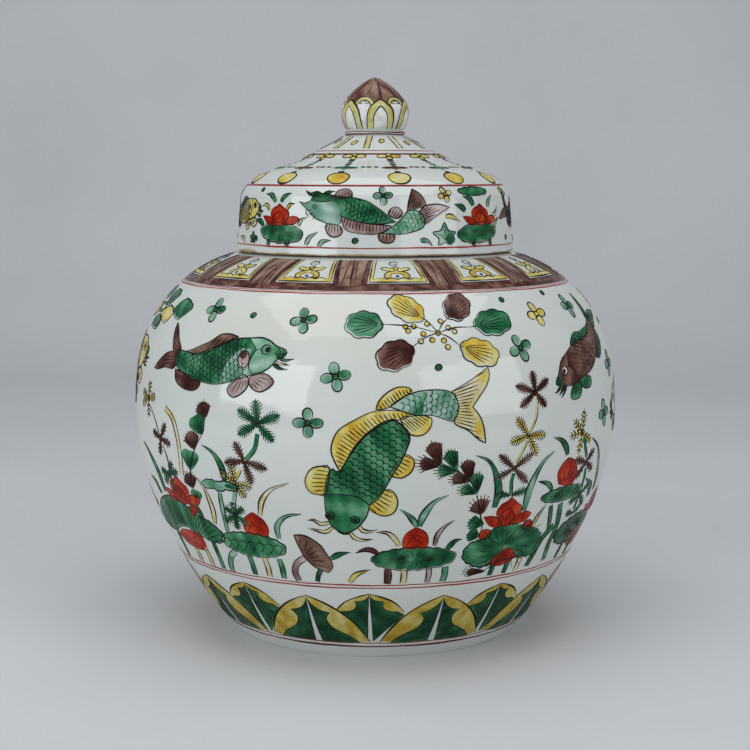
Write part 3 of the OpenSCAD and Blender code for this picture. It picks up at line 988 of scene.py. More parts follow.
def clump_b(sheet):
    """A celled leaf with a pointed bud."""
    for across, hue in ((-86, "green"), (-74, "straw"), (-63, "green")):
        stalk(sheet, across, 69, 84, hue)
    stem(sheet, pts(-107, 68, -106.5, 73, -103, 80, -97, 85), "mint", 4)
    stem(sheet, pts(-98, 98, -97.5, 112, -96.5, 126), "mint", 2.8)
    thin_leaf = wavy(curve(pts(-110, 130, -107, 132.6, -102, 133.4, -97, 132.6, -92, 133.6, -86, 132.8,
                               -82, 131, -86, 128.6, -91, 129, -96, 127, -101, 128.4, -106, 127.8),
                           closed=True, step=1.4), 13, 0.6)
    sheet.shape(thin_leaf, "mint", 0, -1, inset=0.4, width=0.8)
    sheet.fill(oval(-87 + 131j, 5, 1.6), "green", 1)
    cell_leaf(sheet, -81 + 92j, 24, 8)
    bud(sheet, -75 + 99.6j, 17, 16)


def clump_c(sheet):
    """A furled aubergine leaf on a curved stem."""
    stem(sheet, pts(-52, 68.5, -53.5, 75, -51, 82, -45, 86.5), "rose", 4)
    stem(sheet, pts(-39, 69, -37.5, 74, -35, 79), "green", 2.8)
    horn = loop(pts(-49.5, 102.5, -44, 103, -39, 101, -33, 96, -31, 92, -28, 86, -27, 81, -30, 76.5),
                pts(-35, 78, -40, 81, -45, 87), pts(-47, 93, -48.5, 98))
    sheet.shape(horn, "clay", 0, 1)
    sheet.rays(shrink(horn, 1.2), -47 + 85j, 7, 0.15, 0.8, 0.6)
    blade(sheet, pts(-28, 87, -21, 91, -15, 92), "green", 3.4)


def clump_d(sheet):
    """A round-veined leaf under a bud with two green blades."""
    for across, hue, wide in ((8, "plum", 4.4), (18.5, "straw", 3.8), (35, "rose", 3.2), (46, "mint", 4)):
        stalk(sheet, across, 68.5, 80, hue, wide)
    blade(sheet, pts(24.5, 109.5, 23, 113, 19, 118, 14, 122), "mint", 3)
    blade(sheet, pts(26, 110, 28, 117, 34, 126, 42, 129.5), "mint", 4)
    bud(sheet, 24.5 + 94.5j, 15.5, 15)
    lotus_leaf(sheet, 25 + 87j, 26.5, 7.8, "green", 0.0, 22, 17)
    blade(sheet, pts(14.5, 97, 12.5, 101, 7.5, 106, 0.5, 106.8), "straw", 3)
    blade(sheet, pts(1.5, 91.5, -2, 94, -6, 94.5, -12, 92), "plum", 3.4)
    blade(sheet, pts(-17, 69.5, -12, 76, -3, 79.5), "yellow", 3.4)
    blade(sheet, pts(36.5, 96, 38, 104, 42, 109.5, 47.5, 112.8), "rose", 2.8)
    blade(sheet, pts(45, 93, 49, 98, 54, 99), "green", 3.6)


def clump_e(sheet):
    """The great lotus over a folded leaf, with buds beside and below it."""
    for across, hue in ((81.5, "green"), (93.5, "green"), (104, "straw")):
        stalk(sheet, across, 69, 82, hue, 3.6)
    stem(sheet, pts(115, 70.5, 117, 80, 120, 90, 128.5, 98.5), "green", 4.6)
    for spot in (69 + 101j, 101 + 103.4j):
        sheet.shape(oval(spot, 4.2, 3.6), "red", 0, width=0.6)
    lotus(sheet, 83 + 105.6j)
    leaf = curve(pts(57, 90, 61, 95.5, 70, 98, 74, 103, 81, 105.6, 90, 105.4, 97, 103, 105, 101, 112, 98,
                     117.5, 92, 119, 85, 115, 80.5, 105, 80, 98, 81, 88, 80, 72, 77.5, 64, 80, 58, 84.5),
                 closed=True, step=1.5)
    leaf = wavy(leaf, 27, 0.9)
    sheet.shape(leaf, "green", 1, -1j, inset=0.5)
    for aim in np.linspace(12, 348, 24):
        reach = 24 * abs(math.cos(math.radians(aim))) + 7
        bend = ray(aim + 9) * reach * 0.55
        sheet.ink(88 + 89j + np.array([ray(aim) * 2.5, bend, ray(aim) * reach]), 0.7, ends=0.2)
    petal(sheet, loop(pts(77.5, 79, 82, 84, 88, 88.4, 94, 87, 99, 81), pts(95, 78, 88, 76, 82, 76.8)),
          2, 5)
    blade(sheet, pts(72, 119, 73, 130, 70, 141, 65, 149, 57, 153), "green", 4.4)
    blade(sheet, pts(94.5, 114, 96, 130, 103, 144, 112.5, 150), "mint", 4.6)
    blade(sheet, pts(106, 101, 108, 108, 113.5, 116), "straw", 2.6)


def clump_f(sheet):
    """A tall bud on a thin leaf."""
    stem(sheet, pts(123.5, 96, 121.5, 104, 118, 114), "green", 3.2)
    stem(sheet, pts(134, 71.5, 131, 85, 132, 98, 128, 114), "green", 4.4)
    lotus_leaf(sheet, 129 + 120.5j, 21.5, 4.6, "green", 0.0, 10, 13)
    petal(sheet, loop(pts(120, 128, 117.5, 135, 120.5, 140.5, 126, 144),
                      pts(132, 142, 137, 136, 138, 130, 135, 126), pts(128, 126)), 0, 5)
    blade(sheet, pts(115, 125, 110, 130, 101.5, 132.6), "green", 3)
    blade(sheet, pts(124.5, 146, 123, 151, 118, 156, 111, 158.5), "green", 4)


def clump_g(sheet):
    """A low broad leaf with a bud and a lotus at its side."""
    stalk(sheet, 152, 69, 82, "green")
    stalk(sheet, 168, 69, 82, "green")
    blade(sheet, pts(174, 115, 170, 130, 163, 145, 152, 153), "rose", 3)
    blade(sheet, pts(166, 112, 163, 120, 152, 127), "green", 5)
    lotus(sheet, 186 + 98j, 36, 17)
    lotus_leaf(sheet, 160 + 91j, 25, 10, "deep", 0.05, 18, 15)
    bud(sheet, 182 + 82j, 13, 26, math.pi / 2)


def loose_blades(sheet):
    """Single blades between the clumps on the left."""
    blade(sheet, pts(-91, 134, -92.5, 143, -98.5, 151, -106.5, 154.6), "green", 3.8)
    blade(sheet, pts(-107.5, 103, -106, 114, -109, 127, -116, 134.5), "straw", 3.4)
    blade(sheet, pts(-156, 117, -159, 130, -169, 141, -179, 146.5), "green", 4.4)
    blade(sheet, pts(-165, 114, -169, 121, -177, 124.6), "green", 3.6)
    blade(sheet, pts(-70, 114, -67, 124, -60, 132, -49, 136.5), "straw", 3)
    blade(sheet, pts(-60, 99, -59.5, 108, -53, 115, -43, 117.2), "mint", 3.2)


def scattered(sheet):
    """Quatrefoils and dots between the fish."""
    for at, hue, tilt in ((-45 + 234j, "mint", 10), (-22 + 200j, "mint", 12), (-37 + 173j, "mint", 2),
                          (-115 + 238j, "mint", 5), (91 + 214j, "mint", 20), (156.5 + 238j, "mint", 0),
                          (170 + 166j, "mint", 8), (115 + 235j, "yellow", 8), (190 + 195j, "mint", 0)):
        quatrefoil(sheet, at, hue, tilt)
    for at in pts(-81, 236, 36, 205, 91, 247, 136, 250):
        dot(sheet, at)


# ---------------------------------------------------------------- bands

def ring_line(sheet, up, width, hue="line"):
    """A painted line all the way round."""
    around = 2 * math.pi * (sheet.skin.radius or 1)
    across = np.linspace(-around / 2, around / 2, 240, endpoint=False)
    wander = 0.12 * np.sin(across * 0.11 + up) + 0.08 * np.sin(across * 0.29)
    half = width / 2 * (1 + 0.25 * np.sin(across * 0.057 + 2 * up))
    middle = across + 1j * (up + wander)
    sheet.strip(middle + 1j * half, middle - 1j * half, hue, ENAMEL, closed=True)


def top_ring(sheet, r, width, hue="line"):
    """A painted line round the top of the lid."""
    way = np.exp(1j * np.linspace(0, 2 * np.pi, 200, endpoint=False))
    sheet.strip(way * (r + width / 2), way * (r - width / 2), hue, ENAMEL, closed=True)


def mirrored(at, side, wide, *numbers):
    """Flat points on one side of a middle line."""
    flat = pts(*numbers)
    return at + side * flat.real * wide + 1j * flat.imag


def back_lappet(sheet, at, wide=1.0):
    """The part of a foot lappet that shows between its neighbours."""
    sheet.ink_level = ENAMEL + 1.5 * COAT
    for side in (-1, 1):
        edge = mirrored(at, side, wide, 26, 45, 18, 53, 9, 57.6, 0, 60.5)
        tip = mirrored(at, side, wide, 0, 59.5, 2, 56.4, 6, 54.6, 10.5, 54)
        lobe = mirrored(at, side, wide, 10.5, 54, 9.4, 51, 11, 47.6, 15, 45.6, 21, 45, 26, 42)
        green = loop(mirrored(at, side, wide, 2.6, 17, 1.6, 40, 0.5, 58), tip[1:], lobe[1:],
                     mirrored(at, side, wide, 13, 28))
        border = np.concatenate([curve(edge), curve(tip)[1:-1], curve(lobe)])
        sheet.fill(green, "deep", 0, side)
        sheet.hatch(green, side + 1j, 1.9, 0.8, "pine")
        sheet.fill(border, "amber", 1, side)
        for line, width in ((edge, 1.1), (tip, 0.7), (lobe, 0.8),
                            (mirrored(at, side, wide, 2.4, 18, 1.5, 40, 0.4, 58), 0.9)):
            sheet.ink(curve(line), width)
    sheet.ink_level = INK


def front_lappet(sheet, at, wide=1.0):
    """A whole foot lappet: a yellow cusped border round green, split by a white rib."""
    for side in (-1, 1):
        edge = mirrored(at, side, wide, 0, 57, 11, 52.5, 21.5, 46, 32, 36.5, 40, 25.5, 46, 16)
        tip = mirrored(at, side, wide, 0, 55, 3, 49.5, 9, 45, 16, 43.4)
        lobe = mirrored(at, side, wide, 16, 43.4, 13.4, 41, 11.8, 37, 15, 30.5, 23, 25.5, 31, 21,
                        36, 15.6)
        rib = mirrored(at, side, wide, 3.2, 15.6, 1.7, 38, 0.4, 54)
        green = loop(rib, tip[1:], lobe[1:])
        border = np.concatenate([curve(edge)[:-1], curve(lobe[::-1])[:-1], curve(tip[::-1])])
        sheet.fill(green, "deep", 2, side)
        sheet.hatch(green, side + 0.8j, 1.9, 0.8, "pine")
        sheet.fill(border, "amber", 4, 1j)
        for line, width in ((edge, 1.2), (tip, 0.8), (lobe, 0.9), (rib, 0.9)):
            sheet.ink(curve(line), width)


def shoulder_panel(sheet, at):
    """A white panel with a yellow border and a small cloud scroll, on brushed aubergine."""
    half_low, half_top, low, top = 22.0, 18.6, 264.5, 292.5
    gap = TURN / PANELS / 2

    def wall(side, inset, up):
        share = (up - low) / (top - low)
        return at + side * (half_low + (half_top - half_low) * share - inset) + 1j * up

    for side in (-1, 1):
        far = at + side * gap
        ground = np.array([far + 256.4j, at + 256.4j, at + (low - 1.2) * 1j, wall(side, -1.2, low - 1.2),
                           wall(side, -1.2, top), far + top * 1j])
        sheet.fill(polygon(ground, 3), "clay", 0, 1j)
        pool = np.array([at + (low - 1.2) * 1j, wall(side, -1.2, low - 1.2), wall(side, -1.2, top),
                         wall(side, -4.4, top), wall(side, -5.4, low - 3), wall(side, 0, low - 5.4),
                         at + (low - 4) * 1j])
        sheet.fill(polygon(pool), "plum", 1, -side + 0.4j, 2)
        low_pool = polygon(np.array([at + 256.6j, far + 256.6j, far + 261j, at + 259.6j]))
        sheet.fill(low_pool, "plum", 1, 1j)
        for inset, width in ((0.0, 0.9), (2.7, 0.7)):
            sheet.ink(curve(np.array([wall(side, inset, low + inset), wall(side, inset, top)])), width)
        sheet.ink(curve(np.array([wall(side, -5.2, low - 3), wall(side, -4.6, top)])), 0.8, "umber")
        edge = np.array([wall(side, 0.3, up) for up in np.linspace(low, top, 9)])
        rim = np.array([wall(side, 2.7, up) for up in np.linspace(low, top, 9)])
        sheet.strip(edge, rim, "yellow", ENAMEL, flow=1j)
    for lean, width in ((-5, 0.7), (1, 1.1), (5, 0.7)):
        foot = at + gap + lean + dice.uniform(-1, 1) + dice.uniform(257.5, 262) * 1j
        sheet.ink(curve(np.array([foot, foot - lean * 0.2 + 17j, foot - lean * 0.3 + 31j])), width,
                  "umber")
    across = np.linspace(-half_low, half_low, 41)
    scallop = low + 2.6 + 1.5 * abs(np.sin(across * math.pi / half_low * 2.5))
    sheet.strip(at + across + 1j * scallop, at + across + 1j * (low + 0.3), "yellow", ENAMEL + COAT)
    sheet.ink(at + across[3:-3] + 1j * scallop[3:-3], 0.75)
    sheet.ink(at + across + 1j * low, 1.0)
    sheet.ink(at + across * 1.05 + 1j * (low - 1.7), 0.6)
    scroll(sheet, at)


def scroll(sheet, at):
    """A small cloud scroll in yellow."""
    for side in (-1, 1):
        def form(*numbers):
            return mirrored(at, side, 1.12, *numbers)
        sheet.fill(curve(form(0.3, 273.8, 4, 272.8, 5.2, 270.6, 4.8, 268.6, 7.6, 269, 8.4, 271.6,
                              6, 274.6, 0.3, 276), closed=True, step=1.6), "yellow", 2, 1j, step=2)
        sheet.ink(curve(form(0.4, 273.6, 4, 272.6, 5, 270.4, 4, 268.4, 6.6, 268, 9, 269.6, 8.8, 272.4,
                             6, 275, 0.6, 276.2)), 0.75)
        wing = curve(form(1, 276.2, 5, 276, 9.4, 277.6, 11, 280.2, 7.4, 280.8, 4.6, 279.4, 2, 280.6),
                     closed=True, step=1.6)
        sheet.shape(wing, "yellow", 2, 1j, width=0.7)
    sheet.shape(oval(at + 279.4j, 2.2, 2, step=1), "yellow", 3, width=0.7)
    sheet.ink(oval(at + 270.4j, 1, 0.8, step=0.8), 0.8, closed=True)
    sheet.ink(curve(at + pts(-1, 283, -4.6, 285, -3.4, 288.4, 1.2, 289, 3.4, 286.4, 1, 284.4,
                             -0.8, 286.2)), 0.75)
    sheet.ink(curve(at + pts(0, 281, 1, 282.6, 0, 284), step=1), 0.7)


# ---------------------------------------------------------------- the lid

def maple(sheet, at, size, hue="green"):
    """A small leaf with five points."""
    tips = [at + size * far * ray(aim) for aim, far in ((-90, 0.5), (-50, 0.9), (-20, 0.55), (15, 1.05),
                                                        (50, 0.55), (90, 1), (130, 0.55), (165, 1.05),
                                                        (200, 0.55), (230, 0.9))]
    sheet.shape(curve(np.array(tips), closed=True, step=1.4), hue, 0, -1, width=0.6)
    for aim in (15, 90, 165):
        sheet.ink(at + size * np.array([-0.3j, 0.3 * ray(aim), 0.75 * ray(aim)]), 0.5, ends=0.3)


def lid_clump(sheet, at, big=1.0, side=1):
    """A lotus over a veined leaf, with blades round it, on the wall of the lid."""
    def form(*numbers):
        flat = pts(*numbers)
        return at + side * flat.real * big + 1j * flat.imag
    for across in (-8, 7):
        stalk(sheet, (at + side * across * big).real, 6, 10, "green", 2.6)
    lotus(sheet, at + 1j * 19, 29 * big, 13)
    lotus_leaf(sheet, form(1.5, 14)[0], 16.5 * big, 5.8, "green", -0.06 * side, 16, 11)
    if side < 0:
        leaf = oval(at - 3 + 40j, 13.5, 2.7, 0, 11, 0.6, 1.4)
        sheet.shape(leaf, "green", 0, 1)
        blades = ((pts(-6, 30.6, -8.5, 35, -14.5, 36.8), "green", 3.4),
                  (pts(-13, 27.5, -16.5, 30.6, -21.5, 32), "green", 3.4),
                  (pts(8.7, 29.8, 10, 34, 14.5, 37), "teal", 2.6),
                  (pts(14, 24.4, 18, 26, 20.5, 29.8), "straw", 2),
                  (pts(15, 15, 17, 20, 22, 23), "straw", 2))
    else:
        blades = ((pts(-3, 33, -8, 37.5, -14.5, 38), "green", 2.8),
                  (pts(1.5, 33, 4, 36.5, 9.5, 38.6), "jade", 2.8),
                  (pts(-8.5, 28, -12, 31.2, -17.5, 30.4), "straw", 2),
                  (pts(6.5, 28.5, 9, 31.4, 13, 31.8), "yellow", 2),
                  (pts(-14, 18.5, -19, 21.4, -25, 20.4), "green", 3),
                  (pts(16, 18, 18, 22, 23, 24), "straw", 1.8))
        maple(sheet, form(-24, 10)[0], 4.6)
    for path, hue, wide in blades:
        blade(sheet, at + path, hue, wide)


def lid_carp(sheet):
    """The carp on the wall of the lid, bent upwards at its tail."""
    golden_fin(sheet, loop(pts(20, 28, 21, 34, 24, 42), pts(29, 38, 32, 33, 32, 31)),
               18 + 20j, 7, "clay", 0, 1)
    golden_fin(sheet, loop(pts(31, 31, 38, 32, 43, 31.5, 49, 30), pts(43, 27, 37, 23.5, 31, 20, 28, 27)),
               18 + 20j, 9, "blush", 0, 1)
    golden_fin(sheet, loop(pts(-25, 36, -24.5, 40, -19, 42.2, -15, 40.6, -14, 37), pts(-19, 35.5)),
               -19 + 20j, 6, "rose")
    golden_fin(sheet, curve(pts(8, 26, 10, 29.5, 13, 30.5, 16, 29, 17, 25.5, 13, 23.5), closed=True),
               2 + 12j, 5, "rose")
    golden_fin(sheet, loop(pts(-21, 25, -20, 20, -17, 16, -8, 14.2, 0, 14, 7, 16, 10, 19),
                           pts(0, 20, -8, 21, -16, 23)), 0 + 80j, 16, "rose", 0, 1j)
    golden_fin(sheet, curve(pts(2, 14, 3, 10, 7, 8.5, 11, 9.5, 12, 13.5, 7, 14.5), closed=True),
               6 + 30j, 5, "clay")
    rear = loop(pts(3, 15.5, 8, 17, 12, 19.5, 17, 24, 20, 28), pts(25, 28.5, 29, 26.5, 31.5, 22),
                pts(30, 18, 24, 15.5, 16, 14, 9, 14))
    sheet.shape(rear, "mint", 1, -1)
    sheet.scales(rear, pts(3, 15, 14, 18.5, 22, 22, 29, 25), 3.1, 0.6, "green")
    crown = pts(-41.5, 34.2, -40, 37.2, -36, 38.8, -30, 38, -24, 37, -18, 36.4, -13, 36, -5, 34, 0, 31,
                5, 27.5, 9, 24, 13, 21.2)
    keel = pts(13, 21.2, 8, 20.6, 0, 20, -8, 21, -16, 23, -21.5, 25)
    sheet.fill(loop(crown, keel[1:], pts(-22.5, 30, -26, 33.8, -34, 33.6)), "green", 1, -1j)
    sheet.fill(loop(pts(-14, 35.4, -5, 33.4, 0, 30.5, 5, 27, 9, 23.5), pts(4, 21.4, -4, 21, -12, 22.6),
                    pts(-15, 29)), "jade", 2)
    for line in (crown, keel):
        sheet.ink(curve(line), 0.75)
    sheet.scales(loop(pts(-22, 35.4, -13, 35, -5, 33, 4, 27, 11, 22),
                      pts(0, 21, -8, 22, -16, 24, -21, 27)), pts(-24, 30, -12, 29, 0, 25.5, 12, 21.5),
                 3.1, 0.7)
    snout = pts(-41.5, 34.2, -45, 32.6, -50, 33.6)
    chin = pts(-50, 33.6, -46.5, 30.6, -43.5, 28.6, -41, 26, -37, 23, -30.5, 20.6, -25, 19.2, -22, 20.2)
    head = loop(pts(-21.4, 25, -22, 30, -26, 33.8, -34, 33.8, -41.5, 34.2), snout[1:], chin[1:])
    sheet.fill(head, "fade", 2, 1.3 + 0.5j)
    for line in (snout, chin, pts(-41.5, 34, -34, 33.6, -26, 34), pts(-22, 20, -20.6, 24, -22, 27)):
        sheet.ink(curve(line), 0.6)
    golden_fin(sheet, curve(pts(-30.5, 20, -30, 15, -26, 12, -21, 13.5, -20, 17, -23, 19.4), closed=True),
               -25 + 34j, 6, "rose", 1)
    sheet.ink(oval(-38.5 + 30.4j, 1.3, 1.1, step=0.8), 0.6, closed=True)
    blade(sheet, pts(-34, 37, -38, 38.6, -42, 38.2, -46, 40.8), "deep", 3)
    blade(sheet, pts(-33, 37, -30, 39.4, -25.5, 40), "deep", 2.4)
    for line in (pts(-43, 28.4, -40.6, 28.8, -40, 26.6, -42, 25.4),
                 pts(-41, 26, -38.6, 26.4, -38.2, 24.2, -40, 23),
                 pts(-44.5, 29, -44.5, 26.6, -42.5, 24.4)):
        sheet.ink(curve(line), 0.6)


def lid_front(sheet):
    """What is painted beside the carp on the front of the lid."""
    for line, hue in ((pts(-44, 7, -41, 12, -35.5, 15), "teal"),
                      (pts(-35, 6, -32.5, 9.5, -27, 9.8), "teal"),
                      (pts(28, 10, 32, 10, 35.5, 6.5), "teal"),
                      (pts(45.5, 24.4, 50, 24.4, 56, 21), "yellow")):
        blade(sheet, line, hue, 2.6)
    quatrefoil(sheet, 5 + 37.5j, "mint", 5, 0.7)
    quatrefoil(sheet, 46 + 38j, "yellow", 20, 0.62)
    dot(sheet, -12 + 10j, 1.9)
    maple(sheet, 44.5 + 12.5j, 8.2, "mint")
    sheet.fill(oval(48.5 + 10.5j, 3.6, 3), "green", 1)


def lid_back(sheet, hue):
    """A little carp with dots and a quatrefoil, for the sides and back of the lid."""
    carp(sheet, -26 + 29j, 20 + 26j, hue, "plum" if hue == "green" else "green", "straw", hue)
    quatrefoil(sheet, 24 + 39.5j, "yellow", 12, 0.6)
    blade(sheet, pts(-6, 7, -2, 9.5, 6, 10), "straw", 2.4)
    for at in pts(-24, 41, 26, 10, -22, 10):
        dot(sheet, at, 1.7)


def dome_unit(sheet, aim, hue):
    """One hanging jewel of the lid's top, with its lozenge, beads and flower."""
    out = ray(aim)

    def form(*numbers):
        flat = pts(*numbers)
        return out * (flat.imag - 1j * flat.real)
    jewel = curve(form(0, 73.6, 3.6, 74.2, 6.6, 76.4, 6.6, 79.4, 3.8, 82, 0, 82.6,
                       -3.8, 82, -6.6, 79.4, -6.6, 76.4, -3.6, 74.2), closed=True, step=1.6)
    sheet.shape(jewel, "yellow", 0, -0.5 * out, width=0.8)
    for reach, size in ((72, 1.9), (57.8, 2.0), (54, 1.7), (50.6, 1.9)):
        sheet.fill(oval(out * reach, size * 0.8, size * 1.15, np.angle(out), step=1), "pine", 0)
    cloud = curve(form(-8.8, 64, -5, 62, -2.4, 62.2, 0, 59.6, 2.4, 62.2, 5, 62, 8.8, 64, 5, 66.2, 2.4, 66,
                       0, 68.6, -2.4, 66, -5, 66.2), closed=True, step=1.5)
    sheet.fill(cloud, hue, 0, out, 2)
    sheet.ink(curve(form(-6, 64, -2, 63, 2, 64.6, 6, 64)), 0.6, HAIRS[hue])
    for x, y, long, short in ((4.4, 0.4, 3.2, 2), (-4.4, 0.4, 3.2, 2), (0, 2, 1.9, 1.8),
                              (0, -2.2, 2, 1.8)):
        sheet.shape(oval(form(x, 45.4 - y)[0], short, long, np.angle(out), step=1.1), "yellow", 0,
                    width=0.6)


def dome(sheet):
    """The top of the lid: jewels and beads, the red lines, and the bars of the cone."""
    pitch = 360 / DOME_UNITS
    for k in range(DOME_UNITS):
        aim = -90 + 11 + pitch * k
        dome_unit(sheet, aim, ("plum", "green")[(k + (k > 6)) % 2])
        for share, size in ((0.36, 1.5), (0.48, 1.9), (0.63, 1.5)):
            spot = ray(aim + pitch * share) * 63
            sheet.fill(oval(spot, 1.3, size, math.radians(aim + pitch * share), step=1), "pine", 0)
    for r, width, hue in ((83.6, 0.9, "line"), (42.6, 1.7, "maroon"), (38.6, 0.8, "line")):
        top_ring(sheet, r, width, hue)
    for k in range(CONE_BARS):
        aim = -90 - 9 + 360 / CONE_BARS * k
        way, aside = ray(aim), 1j * ray(aim)
        bar = np.array([way * 21, way * 28, way * 36])
        sheet.strip(bar + aside * 1.7, bar - aside * 1.7, "straw", ENAMEL)
        for side in (-1.7, 1.7):
            sheet.ink(bar + aside * side, 0.7, ends=0.8)
        spot = ray(aim + 180 / CONE_BARS) * (27 + 2 * (k % 2))
        sheet.shape(oval(spot, 2.6, 1.7, math.radians(aim), step=1), "yellow", 0, width=0.6)


def bud_arch(sheet, at, half, low, high, blunt, band, coat):
    """One petal of the finial: a white field in a yellow arch, with ink edges."""
    tall = high - low
    leg = pts(half * 1.08, low, half, low + tall * 0.45, half * 0.82, low + tall * 0.7,
              half * blunt, low + tall * 0.93)
    outer = curve(np.r_[-leg.conj(), 1j * high, leg[::-1]], step=1.1)
    foot = 1j * low
    up = outer - foot
    inner = foot + up.real * (1 - band / half) + 1j * up.imag * (1 - 1.15 * band / tall)
    sheet.fill(at + outer, "white", coat, step=1.6)
    for share in (0, 1, 2):
        near, far = (outer + (inner - outer) * part / 3 for part in (share, share + 1))
        sheet.strip(at + near, at + far, "lemon", ENAMEL + (coat + 1) * COAT, flow=-1j)
    for line, width in ((outer, 1.0), (inner, 0.7)):
        sheet.ink(at + line, width, level=ENAMEL + (coat + 2) * COAT, ends=0.9)


def bud_petals(sheet):
    """Two rows of white lotus petals round the finial, under a brushed aubergine tip."""
    pitch = 2 * math.pi * BUD_ROUND / PETALS
    first = BUD_ROUND * math.radians(10)
    crown = sheet.skin.s[-1] - 0.4
    for k in range(PETALS):
        at = first + pitch * k
        cap = polygon(at + np.array([-pitch / 2 + 17j, pitch / 2 + 17j, pitch / 2 + crown * 1j,
                                     -pitch / 2 + crown * 1j]))
        sheet.fill(cap, "clay", 0, 1j, 1.6)
        streak = loop(at + pts(-2.2, 21, -0.8, 26, -1.2, crown - 1), at + pts(2, crown - 1),
                      at + pts(1.2, 26, 2.6, 21))
        sheet.fill(streak, "plum", 1, 1, 1.6)
        for lean, low in ((-0.4, 26), (0.06, 22)):
            sheet.ink(curve(at + pitch * lean + pts(0, low, 0.6, low + 7, 0, crown - 2)), 0.8, "umber")
    for k in range(PETALS):
        bud_arch(sheet, first + pitch * (k + 0.5), 8.6, 6, 22.6, 0.5, 2.4, 0)
    for k in range(PETALS):
        bud_arch(sheet, first + pitch * k, 8.9, 0.8, 20.4, 0.3, 4.2, 3)


# ---------------------------------------------------------------- the whole painting

BEHIND = TURN / 2        # the pond is painted twice, half a turn apart
PANELS = 13              # panels round the shoulder
FIRST_PANEL = 17.5       # where the middle of the first one is
DOME_UNITS = 13          # jewels on the top of the lid
CONE_BARS = 10           # yellow bars on the cone
PETALS = 6               # petals in each row of the finial
FRONT_LAPPETS = (-149, -101, -50, -4, 50, 96, 147)
ALL_LAPPETS = 20         # lappets round the foot
LAPPET_PITCH = 49        # a lappet is drawn to stand this far from the next

ENAMEL_PAINT = enamel()
INK_PAINT = ink_paint()
JAR = Skin(("lower_section", "upper_section"), BODY_ROUND, spacing=GRID)
LID = Skin(("lid_cap",), LID_ROUND)
LID_TOP = Skin(("lid_cap",), None)
COLLAR_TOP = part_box("finial")[0].z / MM + COLLAR_H
BUD = Skin(("finial",), BUD_ROUND, above=COLLAR_TOP)
COLLAR = Skin(("finial",), BUD_ROUND, below=COLLAR_TOP)


def on_jar(name, draw, **place):
    """Paints a drawing on the jar."""
    paint(name, JAR, "jar", "body_porcelain", draw, **place)


def on_lid(name, draw, **place):
    """Paints a drawing on the wall of the lid."""
    paint(name, LID, "lid", "lid_porcelain", draw, **place)


def paint_pond():
    """The plants round the foot of the pond, each kind at the front and again behind."""
    clumps = (("leafy_a", clump_a, (0, BEHIND)), ("leafy_b", clump_b, (0, 326, BEHIND)),
              ("leafy_c", clump_c, (0, BEHIND)), ("leafy_d", clump_d, (0, BEHIND, 620)),
              ("leafy_e", clump_e, (0, BEHIND)), ("leafy_f", clump_f, (0, BEHIND)),
              ("leafy_g", clump_g, (0, 548)), ("blades", loose_blades, (0, BEHIND)),
              ("stars_left", left_stars, (0, BEHIND)), ("stars_right", right_stars, (0, BEHIND)),
              ("stars_side", side_stars, (0, BEHIND)))
    for name, draw, shifts in clumps:
        for k, shift in enumerate(shifts):
            on_jar(f"{name}_{k + 1}", draw, shift=shift)


def paint_fish():
    """The carp, and the leaves and flowers that float among them."""
    on_jar("great_carp_front", great_carp)
    on_jar("great_carp_back", lambda sheet: great_carp(sheet, "plum", "rose", "green", "plum"),
           shift=BEHIND)
    fish = (
        ("green", -51.5 + 212j, -134 + 203.5j, ("green", "plum", "rose", "mint")),
        ("aubergine", 115 + 189j, 178 + 223j, ("plum", "green", "green", "plum", "white", "deep")),
        ("yellow", -178 + 203j, -258 + 197j, ("yellow", "straw", "straw", "yellow")),
        ("golden", 186 + 167j, 262 + 176j, ("yellow", "plum", "straw", "straw")),
        ("dark", 419.5 + 212j, 337 + 203.5j, ("plum", "yellow", "straw", "rose")),
        ("jade", 586 + 189j, 649 + 223j, ("green", "yellow", "straw", "mint")),
    )
    for name, nose, root, hues in fish:
        on_jar(f"carp_{name}", lambda sheet: carp(sheet, nose, root, *hues))
    for name, draw in (("whorl", leaf_whorl), ("scattered", scattered), ("palm_leaf", palm_leaf)):
        for k, shift in enumerate((0, BEHIND)):
            on_jar(f"{name}_{k + 1}", draw, shift=shift)


def paint_bands():
    """The lappets round the foot, the panels round the shoulder and the red lines."""
    places = list(FRONT_LAPPETS)
    more = ALL_LAPPETS - len(places)
    pitch = (TURN + places[0] - places[-1]) / (more + 1)
    places += [places[-1] + pitch * (k + 1) for k in range(more)]
    for quarter in range(4):
        def lappets(sheet):
            for k in range(quarter * 5, quarter * 5 + 5):
                draw = back_lappet if k % 2 else front_lappet
                draw(sheet, places[k], 1.0 if k < len(FRONT_LAPPETS) else pitch / LAPPET_PITCH)
        on_jar(f"lappets_{quarter + 1}", lappets)
    for part, run in enumerate((range(0, 5), range(5, 9), range(9, PANELS))):
        def panels(sheet):
            for k in run:
                shoulder_panel(sheet, FIRST_PANEL + TURN / PANELS * k)
        on_jar(f"panels_{part + 1}", panels)

    def lines(sheet):
        for up, width, hue in ((11.6, 1.5, "maroon"), (15.0, 0.8, "line"), (65.0, 0.9, "line"),
                               (67.3, 0.9, "line"), (254.2, 0.9, "line"), (255.6, 0.5, "line")):
            ring_line(sheet, up, width, hue)
    on_jar("jar_lines", lines)


